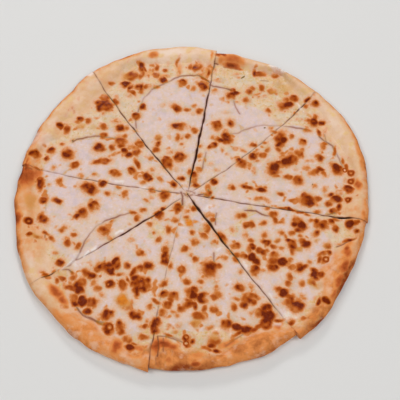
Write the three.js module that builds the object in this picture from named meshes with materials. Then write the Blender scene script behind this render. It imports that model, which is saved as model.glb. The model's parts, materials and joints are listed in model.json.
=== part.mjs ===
import * as THREE from "three";

// A flat cheese pizza cut into eight slices that still lie together.
// Each slice is two solids: a dough wedge with a low, uneven rim, and the sheet
// of melted cheese that lies in it. Millimetres, +Z up, base on z = 0. Angles
// are degrees counterclockwise from +X, seen from above, about the hub where
// the cuts meet. The origin is the middle of the pizza's outline, on the table.

// ---- Driving sizes ----------------------------------------------------------
const HUB = new THREE.Vector2(-3.85, -1.0);
const MEAN_RADIUS = 160; // a cut's end direction holds at this distance
const TIP_RADIUS = 1.8; // hub to the blunt point of each slice
const BASE_THICKNESS = 3.8; // dough under the cheese
const CHEESE_THICKNESS = 2.7;
const CHEESE_EDGE_THICKNESS = 1.7; // at the foot of the rim
const CHEESE_TAPER = 16; // the cheese thins over this width towards the rim
const CHEESE_WAVE = 0.22; // height of the slow swells in the melted sheet
const CUT_SLUMP = 0.35; // the cheese sinks this much along a cut
const CUT_SLUMP_WIDTH = 3.5;
const LAYER_GAP = 0.3; // clearance between cheese and dough
const SEAT_HEIGHT = 4.9; // the dough just outside the cheese's edge
const SEAT_RISE = 1.1; // run of the short slope up to the seat
const CREST_FRACTION = 0.5; // the rim is highest this share of the way outwards
const CREST_INSET_MAX = 13; // but no further in from the outline than this
const EDGE_INSET = 2.6; // the foot of the outer edge stands in by this
const CLEAR_OF_FOOT = 0.05; // a side wall has no floor point closer to its foot

// Around a slice and outwards along it
const STEPS_AROUND = 14;
const STEPS_CHEESE = 10;
const STEPS_RIM = 5;

// The outer edge's rounding: inset from the outline, share of the rim's height
const EDGE_PROFILE = [
  { inset: 2.9, height: 0.83 },
  { inset: 1.0, height: 0.63 },
  { inset: 0.0, height: 0.37 },
  { inset: 0.8, height: 0.13 },
];

// ---- The cuts ---------------------------------------------------------------
// end: direction of the cut where it leaves the rim; bow: how far its middle
// stands off the straight line, counterclockwise; gap: its width at the hub, a
// third and two thirds of the way out, and at the rim
const CUTS = {
  top: { end: 79.9, bow: -0.6, gap: [1.0, 1.8, 1.4, 0.7] },
  upperRight: { end: 41.5, bow: -6.0, gap: [0.8, 0.8, 0.8, 0.7] },
  right: { end: -9.7, bow: -0.7, gap: [0.9, 1.1, 0.8, 1.3] },
  lowerRight: { end: -54.7, bow: -1.5, gap: [1.5, 1.6, 0.9, 0.6] },
  bottom: { end: -101.2, bow: -3.1, gap: [0.8, 0.8, 0.6, 0.8] },
  lowerLeft: { end: -147.5, bow: 2.5, gap: [0.8, 1.2, 0.9, 0.6] },
  left: { end: -191.5, bow: 3.7, gap: [0.8, 0.9, 0.8, 0.7] },
  upperLeft: { end: -234.9, bow: 2.5, gap: [0.8, 1.0, 0.9, 0.7] },
};

// ---- The slices, counterclockwise -------------------------------------------
// from, to: the cuts on its clockwise and counterclockwise sides; outline:
// distance from the hub to the outer edge; cheese: distance to the cheese's
// edge; crest: height of the rim. Each list runs evenly from one cut to the other
const SLICES = [
  {
    name: "right",
    from: "right",
    to: "upperRight",
    outline: [161.8, 163.2, 167.0, 167.4, 164.8],
    cheese: [137, 138, 148, 149, 147, 143, 141, 146, 149],
    crest: [8.6, 8.8, 8.6],
  },
  {
    name: "upper_right",
    from: "upperRight",
    to: "top",
    outline: [164.4, 163.6, 161.6, 160.0, 157.8],
    cheese: [148, 148, 151, 156, 150, 144, 143, 141, 142],
    crest: [8.6, 8.8, 9.4],
  },
  {
    name: "top",
    from: "top",
    to: "upperLeft",
    outline: [160.6, 163.0, 163.8, 162.2, 162.2],
    cheese: [134, 141, 138, 137, 140, 146, 146, 138, 135],
    crest: [9.2, 8.8, 8.8],
  },
  {
    name: "upper_left",
    from: "upperLeft",
    to: "left",
    outline: [163.0, 158.0, 156.8, 155.2, 155.0],
    cheese: [132, 130, 126, 129, 136, 130, 138, 140, 137],
    crest: [8.8, 8.6, 9.0],
  },
  {
    name: "left",
    from: "left",
    to: "lowerLeft",
    outline: [154.4, 155.4, 155.4, 157.0, 159.2],
    cheese: [137, 137, 132, 133, 137, 131, 130, 131, 136],
    crest: [9.2, 8.8, 8.8],
  },
  {
    name: "lower_left",
    from: "lowerLeft",
    to: "bottom",
    outline: [159.4, 160.2, 161.2, 162.6, 164.0],
    cheese: [140, 140, 142, 142, 140, 144, 146, 150, 142],
    crest: [9.0, 9.2, 9.2],
  },
  {
    name: "bottom",
    from: "bottom",
    to: "lowerRight",
    outline: [160.4, 159.4, 159.2, 159.6, 158.8],
    cheese: [133, 134, 141, 145, 146, 140, 138, 142, 150],
    crest: [9.4, 9.2, 9.0],
  },
  {
    name: "lower_right",
    from: "lowerRight",
    to: "right",
    outline: [163.6, 162.4, 158.8, 159.4, 160.0],
    cheese: [150, 149, 151, 141, 137, 138, 142, 151, 140],
    crest: [8.8, 8.6, 8.6],
  },
];

// ---- Bubbles that lift the rim: direction, distance from the hub, half width
// around, half width outwards, height
const RIM_BUBBLES = [
  { at: 57.6, distance: 159.5, around: 6.5, outward: 4.5, height: 2.2 },
  { at: 74.5, distance: 151, around: 12, outward: 7, height: 1.3 },
  { at: 174.5, distance: 148, around: 14, outward: 7, height: 1.2 },
  { at: 220.5, distance: 147, around: 9, outward: 5, height: 1.0 },
  { at: 262.8, distance: 143, around: 9, outward: 8, height: 1.6 },
  { at: 296.5, distance: 148, around: 14, outward: 9, height: 0.9 },
];

const DOUGH_COLOUR = 0xe0b581;
const CHEESE_COLOUR = 0xded0be;
const DOUGH_ROUGHNESS = 0.72;
const CHEESE_ROUGHNESS = 0.42;

// ---- Helpers ----------------------------------------------------------------
const SWELL = { alongX: [13, 37], alongY: [29, 17], phase: 1 }; // the swells' lengths
const toRadians = THREE.MathUtils.degToRad;
const mix = THREE.MathUtils.lerp;

// A smooth value along an evenly spaced list, share 0 to 1.
function alongList(list, share) {
  const place = THREE.MathUtils.clamp(share, 0, 1) * (list.length - 1);
  const first = Math.min(Math.floor(place), list.length - 2);
  const ease = THREE.MathUtils.smoothstep(place - first, 0, 1);
  return mix(list[first], list[first + 1], ease);
}

// Distance of a point from the hub, seen from above.
function hubDistance(point) {
  return Math.hypot(point.x - HUB.x, point.y - HUB.y);
}

// Direction in radians of a cut's centre line at a distance from the hub.
function cutDirection(cut, distance) {
  const share = distance / MEAN_RADIUS;
  return toRadians(cut.end) + (4 * cut.bow * (1 - share)) / MEAN_RADIUS;
}

// Half the cut's width at a distance from the hub.
function halfGap(cut, distance) {
  return alongList(cut.gap, distance / MEAN_RADIUS) / 2;
}

// Direction at a share around the slice, 0 at its first cut and 1 at its
// second, at a distance from the hub and clear of both cuts.
function sliceDirection(slice, share, distance) {
  const first = CUTS[slice.from];
  const second = CUTS[slice.to];
  let start = cutDirection(first, distance);
  let end = cutDirection(second, distance);
  while (end < start) end += 2 * Math.PI;
  start += Math.asin(halfGap(first, distance) / distance);
  end -= Math.asin(halfGap(second, distance) / distance);
  return mix(start, end, share);
}

// Distance in millimetres along the arc from a point to its slice's nearer cut.
function distanceToCut(slice, share, distance) {
  const width =
    (sliceDirection(slice, 1, distance) - sliceDirection(slice, 0, distance)) * distance;
  return width * Math.min(share, 1 - share);
}

// Height that the rim bubbles add at a direction and distance.
function bubbleLift(direction, distance) {
  let lift = 0;
  for (const bubble of RIM_BUBBLES) {
    const turn = direction - toRadians(bubble.at);
    const around = Math.atan2(Math.sin(turn), Math.cos(turn)) * distance;
    const reach =
      (around / bubble.around) ** 2 + ((distance - bubble.distance) / bubble.outward) ** 2;
    lift += bubble.height * Math.exp(-reach);
  }
  return lift;
}

// A point of the slice at a share around it, a distance and a height.
function slicePoint(slice, share, distance, height) {
  const direction = sliceDirection(slice, share, distance);
  return new THREE.Vector3(
    HUB.x + distance * Math.cos(direction),
    HUB.y + distance * Math.sin(direction),
    height,
  );
}

// ---- Columns: the points up one line from tip to outer edge ------------------
// A dough column: the flat floor under the cheese, a short slope at the cheese's
// edge, the rim's low dome, and the rounded outer edge down to the foot.
function doughColumn(slice, share) {
  const outline = alongList(slice.outline, share);
  const floorEnd = alongList(slice.cheese, share) + LAYER_GAP;
  const crest = alongList(slice.crest, share);
  const seat = floorEnd + SEAT_RISE;
  const rimWidth = outline - seat;
  const crestInset = Math.min(rimWidth * CREST_FRACTION, CREST_INSET_MAX);
  const crestDistance = outline - crestInset;
  const points = [];
  for (let i = 0; i <= STEPS_CHEESE; i++) {
    const distance = mix(TIP_RADIUS, floorEnd, i / STEPS_CHEESE);
    points.push(slicePoint(slice, share, distance, BASE_THICKNESS));
  }
  const edgeStart = outline - EDGE_PROFILE[0].inset;
  const edgeHeight = crest * EDGE_PROFILE[0].height;
  for (let i = 0; i < STEPS_RIM; i++) {
    const distance = mix(seat, edgeStart, i / STEPS_RIM);
    const inner = THREE.MathUtils.smoothstep(distance, seat - SEAT_RISE, crestDistance);
    const outer = THREE.MathUtils.clamp(
      (distance - crestDistance) / (edgeStart - crestDistance),
      0,
      1,
    );
    const dome = mix(SEAT_HEIGHT, crest, inner) - (crest - edgeHeight) * outer ** 2;
    const lift = bubbleLift(sliceDirection(slice, share, distance), distance);
    points.push(slicePoint(slice, share, distance, dome + lift));
  }
  for (const step of EDGE_PROFILE) {
    const distance = outline - step.inset;
    const lift = bubbleLift(sliceDirection(slice, share, distance), distance);
    const height = (crest + lift) * step.height;
    points.push(slicePoint(slice, share, distance, height));
  }
  return { top: points, foot: slicePoint(slice, share, outline - EDGE_INSET, 0), floor: 0 };
}

// Thickness of the cheese: slow swells, thinner towards the rim, sunk at the cuts.
function cheeseThickness(slice, share, distance, edge) {
  const direction = sliceDirection(slice, share, distance);
  const x = distance * Math.cos(direction);
  const y = distance * Math.sin(direction);
  const wave =
    CHEESE_WAVE *
    (Math.sin(x / SWELL.alongX[0] + y / SWELL.alongY[0]) +
      Math.sin(y / SWELL.alongY[1] - x / SWELL.alongX[1] + SWELL.phase));
  const taper = THREE.MathUtils.smoothstep(edge - distance, 0, CHEESE_TAPER);
  const full = mix(CHEESE_EDGE_THICKNESS, CHEESE_THICKNESS, taper);
  const near = distanceToCut(slice, share, distance) / CUT_SLUMP_WIDTH;
  return full + wave - CUT_SLUMP * Math.exp(-near);
}

// A cheese column: the melted sheet's top from tip to edge, and its foot.
function cheeseColumn(slice, share) {
  const edge = alongList(slice.cheese, share) - LAYER_GAP;
  const floor = BASE_THICKNESS + LAYER_GAP;
  const points = [];
  for (let i = 0; i <= STEPS_CHEESE; i++) {
    const distance = mix(TIP_RADIUS, edge, i / STEPS_CHEESE);
    const thickness = cheeseThickness(slice, share, distance, edge);
    points.push(slicePoint(slice, share, distance, floor + thickness));
  }
  return { top: points, foot: slicePoint(slice, share, edge, floor), floor };
}

// ---- Closed solid from columns ----------------------------------------------
// The tops of the columns make the upper surface. Under the first and last
// columns and at every foot there is a point on the flat floor; walls join the
// two, and the floor is one flat polygon.
function solidFromColumns(columns) {
  const positions = [];
  const indices = [];
  const add = (point) => positions.push(point.x, point.y, point.z) / 3 - 1;
  const triangle = (a, b, c) => indices.push(a, b, c);
  const quad = (a, b, c, d) => {
    triangle(a, b, c);
    triangle(a, c, d);
  };

  const tops = columns.map((column) => column.top.map(add));
  const feet = columns.map((column) => add(column.foot));
  const rows = tops[0].length;
  const last = tops.length - 1;
  for (let j = 0; j < last; j++) {
    for (let i = 0; i < rows - 1; i++) {
      quad(tops[j][i], tops[j][i + 1], tops[j + 1][i + 1], tops[j + 1][i]);
    }
    quad(tops[j][rows - 1], feet[j], feet[j + 1], tops[j + 1][rows - 1]);
  }

  // Side walls: a floor point under each top point that lies inside the foot.
  const floorLine = (column) => {
    const inside = column.top.filter(
      (point) => hubDistance(point) < hubDistance(column.foot) - CLEAR_OF_FOOT,
    );
    return inside.map((point) => add(new THREE.Vector3(point.x, point.y, column.floor)));
  };
  const floors = [floorLine(columns[0]), floorLine(columns[last])];
  const sides = [
    { top: tops[0], foot: feet[0], floor: floors[0], outward: true },
    { top: tops[last], foot: feet[last], floor: floors[1], outward: false },
  ];
  for (const side of sides) {
    const face = side.outward ? triangle : (a, b, c) => triangle(a, c, b);
    const count = side.floor.length;
    for (let i = 0; i < count - 1; i++) {
      face(side.floor[i], side.floor[i + 1], side.top[i + 1]);
      face(side.floor[i], side.top[i + 1], side.top[i]);
    }
    face(side.floor[count - 1], side.foot, side.top[count - 1]);
    for (let i = count - 1; i < rows - 1; i++) {
      face(side.foot, side.top[i + 1], side.top[i]);
    }
  }

  // The tip's wall: every column starts at its own point on the tip's short arc.
  const tipTops = tops.map((top) => top[0]);
  for (let j = 0; j < last; j++) triangle(floors[0][0], tipTops[j], tipTops[j + 1]);
  triangle(floors[0][0], tipTops[last], floors[1][0]);

  // The floor, one flat polygon seen from below.
  const loop = [...floors[0], ...feet, ...floors[1].slice().reverse()];
  const flat = loop.map(
    (index) => new THREE.Vector2(positions[3 * index], positions[3 * index + 1]),
  );
  for (const [a, b, c] of THREE.ShapeUtils.triangulateShape(flat, [])) {
    triangle(loop[a], loop[c], loop[b]);
  }

  const geometry = new THREE.BufferGeometry();
  geometry.setAttribute("position", new THREE.Float32BufferAttribute(positions, 3));
  geometry.setIndex(indices);
  geometry.computeVertexNormals();
  return geometry;
}

// ---- The pizza --------------------------------------------------------------
function sliceMesh(slice, layer, column, colour, roughness) {
  const columns = Array.from({ length: STEPS_AROUND + 1 }, (_, j) =>
    column(slice, j / STEPS_AROUND),
  );
  const material = new THREE.MeshStandardMaterial({ color: colour, roughness, metalness: 0 });
  const mesh = new THREE.Mesh(solidFromColumns(columns), material);
  mesh.name = `${layer}_${slice.name}`;
  return mesh;
}

const pizza = new THREE.Group();
for (const slice of SLICES) {
  pizza.add(sliceMesh(slice, "dough", doughColumn, DOUGH_COLOUR, DOUGH_ROUGHNESS));
  pizza.add(sliceMesh(slice, "cheese", cheeseColumn, CHEESE_COLOUR, CHEESE_ROUGHNESS));
}

export default pizza;
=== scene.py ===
"""Looks of a flat cheese pizza cut into eight slices that still lie together."""

import json
import math
from collections import namedtuple
from functools import lru_cache

import bpy
import numpy as np
from bpy.props import FloatProperty, FloatVectorProperty, PointerProperty
from mathutils import Matrix, Vector

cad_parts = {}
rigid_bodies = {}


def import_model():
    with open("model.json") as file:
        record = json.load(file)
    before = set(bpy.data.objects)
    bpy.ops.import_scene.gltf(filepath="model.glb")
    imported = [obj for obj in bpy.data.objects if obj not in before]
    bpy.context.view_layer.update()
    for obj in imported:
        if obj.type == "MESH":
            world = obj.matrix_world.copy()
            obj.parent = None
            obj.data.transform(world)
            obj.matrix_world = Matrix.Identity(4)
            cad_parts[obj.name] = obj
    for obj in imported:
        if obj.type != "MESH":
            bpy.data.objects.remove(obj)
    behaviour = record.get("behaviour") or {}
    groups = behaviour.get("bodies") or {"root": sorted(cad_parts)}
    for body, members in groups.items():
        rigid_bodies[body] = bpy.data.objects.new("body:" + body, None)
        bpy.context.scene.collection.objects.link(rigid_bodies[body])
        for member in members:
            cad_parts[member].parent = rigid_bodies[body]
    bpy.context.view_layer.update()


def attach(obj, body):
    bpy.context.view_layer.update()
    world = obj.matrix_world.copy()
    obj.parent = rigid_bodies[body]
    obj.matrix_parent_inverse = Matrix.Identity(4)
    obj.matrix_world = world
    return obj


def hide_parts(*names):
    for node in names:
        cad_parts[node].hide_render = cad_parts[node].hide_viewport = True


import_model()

bl_info = {
    "name": "Sliced Cheese Pizza",
    "version": (1, 0, 0),
    "blender": (4, 5, 0),
    "location": "3D View > Sidebar > Pizza",
    "description": "Dough, melted cheese with baked blisters and herb flecks of a sliced pizza",
    "category": "Mesh",
}

# ---- Sizes shared with the solids: millimetres, +Z up, angles in degrees about the hub ----
MM = 0.001
HUB_X, HUB_Y = -3.85, -1.0
MEAN_RADIUS = 160.0
TIP_RADIUS = 0.8
BASE_THICKNESS = 3.8
CHEESE_THICKNESS = 2.7
CHEESE_EDGE_THICKNESS = 1.7
CHEESE_TAPER = 16.0
CHEESE_WAVE = 0.22
CUT_SLUMP = 0.35
CUT_SLUMP_WIDTH = 3.5
LAYER_GAP = 0.3
SEAT_HEIGHT = 4.9
SEAT_RISE = 1.1
CREST_FRACTION = 0.5
CREST_INSET_MAX = 13.0
# The outer edge's rounding: inset from the outline, share of the rim's height
EDGE_PROFILE = ((2.9, 0.83), (1.0, 0.63), (0.0, 0.37), (0.8, 0.13), (2.6, 0.0))

# Each cut: its direction at the rim and how far its middle bows off the straight line; then
# three lists, spaced evenly from the hub to the rim: its width, the share of that width that
# melted cheese has closed, and how dark its lips are drawn, which is partly browned cheese and
# partly painted shade of the gap.
Cut = namedtuple("Cut", "direction bow widths closed darkness")
CUTS = {
    "top": Cut(79.9, -0.6, (1.0, 1.8, 1.4, 0.7),
               (0.95, 0.25, 0.1, 0.25, 0.3, 0.4, 0.8, 0.95, 0.95),
               (0.3, 0.8, 0.8, 0.72, 0.75, 0.75, 0.6, 0.55, 0.45)),
    "upper_right": Cut(41.5, -6.0, (0.8, 0.8, 0.8, 0.7),
                       (0.95, 0.7, 0.8, 0.85, 0.8, 0.85, 0.7, 0.4, 0.95),
                       (0.3, 0.5, 0.45, 0.45, 0.42, 0.4, 0.45, 0.9, 0.3)),
    "right": Cut(-9.7, -0.7, (0.9, 1.1, 0.8, 1.3),
                 (0.95, 0.7, 0.7, 0.7, 0.7, 0.7, 0.8, 0.0, 0.97),
                 (0.35, 0.7, 0.5, 0.52, 0.62, 0.8, 0.65, 0.95, 0.1)),
    "lower_right": Cut(-54.7, -1.5, (1.5, 1.6, 0.9, 0.6),
                       (0.6, 0.0, 0.1, 0.45, 0.6, 0.65, 0.7, 0.9, 0.97),
                       (0.7, 0.95, 0.85, 0.75, 0.7, 0.65, 0.6, 0.35, 0.2)),
    "bottom": Cut(-101.2, -3.1, (0.8, 0.8, 0.6, 0.8),
                  (0.95, 0.95, 0.9, 0.9, 0.9, 0.9, 0.85, 0.85, 0.8),
                  (0.0, 0.1, 0.25, 0.35, 0.25, 0.3, 0.55, 0.8, 0.45)),
    "lower_left": Cut(-147.5, 2.5, (0.8, 1.2, 0.9, 0.6),
                      (0.95, 0.6, 0.2, 0.3, 0.6, 0.75, 0.9, 0.97, 0.97),
                      (0.1, 0.45, 0.62, 0.85, 0.68, 0.5, 0.4, 0.75, 0.15)),
    "left": Cut(-191.5, 3.7, (0.8, 0.9, 0.8, 0.7),
                (0.95, 0.7, 0.85, 0.75, 0.75, 0.8, 0.85, 0.95, 0.8),
                (0.7, 0.65, 0.45, 0.6, 0.45, 0.5, 0.3, 0.5, 0.8)),
    "upper_left": Cut(-234.9, 2.5, (0.8, 1.0, 0.9, 0.7),
                      (0.95, 0.5, 0.1, 0.4, 0.65, 0.6, 0.65, 0.75, 0.95),
                      (0.1, 0.6, 0.6, 0.65, 0.7, 0.68, 0.58, 0.62, 0.6)),
}

# Each slice, counterclockwise: the cuts on its two sides; then three lists, spaced evenly from
# the first cut to the second: the distances to the outer edge and to the cheese's edge, and
# the rim's height.
Slice = namedtuple("Slice", "first_cut second_cut outline cheese_edge rim_height")
SLICES = {
    "right": Slice("right", "upper_right", (161.8, 163.2, 167.0, 167.4, 164.8),
                   (137, 138, 148, 149, 147, 143, 141, 146, 149), (8.6, 8.8, 8.6)),
    "upper_right": Slice("upper_right", "top", (164.4, 163.6, 161.6, 160.0, 157.8),
                         (148, 148, 151, 156, 150, 144, 143, 141, 142), (8.6, 8.8, 9.4)),
    "top": Slice("top", "upper_left", (160.6, 163.0, 163.8, 162.2, 162.2),
                 (134, 141, 138, 137, 140, 146, 146, 138, 135), (9.2, 8.8, 8.8)),
    "upper_left": Slice("upper_left", "left", (163.0, 158.0, 156.8, 155.2, 155.0),
                        (132, 130, 126, 129, 136, 130, 138, 140, 137), (8.8, 8.6, 9.0)),
    "left": Slice("left", "lower_left", (154.4, 155.4, 155.4, 157.0, 159.2),
                  (137, 137, 132, 133, 137, 131, 130, 131, 136), (9.2, 8.8, 8.8)),
    "lower_left": Slice("lower_left", "bottom", (159.4, 160.2, 161.2, 162.6, 164.0),
                        (140, 140, 142, 142, 140, 144, 146, 150, 142), (9.0, 9.2, 9.2)),
    "bottom": Slice("bottom", "lower_right", (160.4, 159.4, 159.2, 159.6, 158.8),
                    (133, 134, 141, 145, 146, 140, 138, 142, 150), (9.4, 9.2, 9.0)),
    "lower_right": Slice("lower_right", "right", (163.6, 162.4, 158.8, 159.4, 160.0),
                         (150, 149, 151, 141, 137, 138, 142, 151, 140), (8.8, 8.6, 8.6)),
}

# Bubbles that lift the rim: direction, distance, half widths around and outwards, height
RIM_BUBBLES = (
    (57.6, 159.5, 6.5, 4.5, 2.2), (74.5, 151, 12, 7, 1.3), (174.5, 148, 14, 7, 1.2),
    (220.5, 147, 9, 5, 1.0), (262.8, 143, 9, 8, 1.6), (296.5, 148, 14, 9, 0.9),
)

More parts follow.
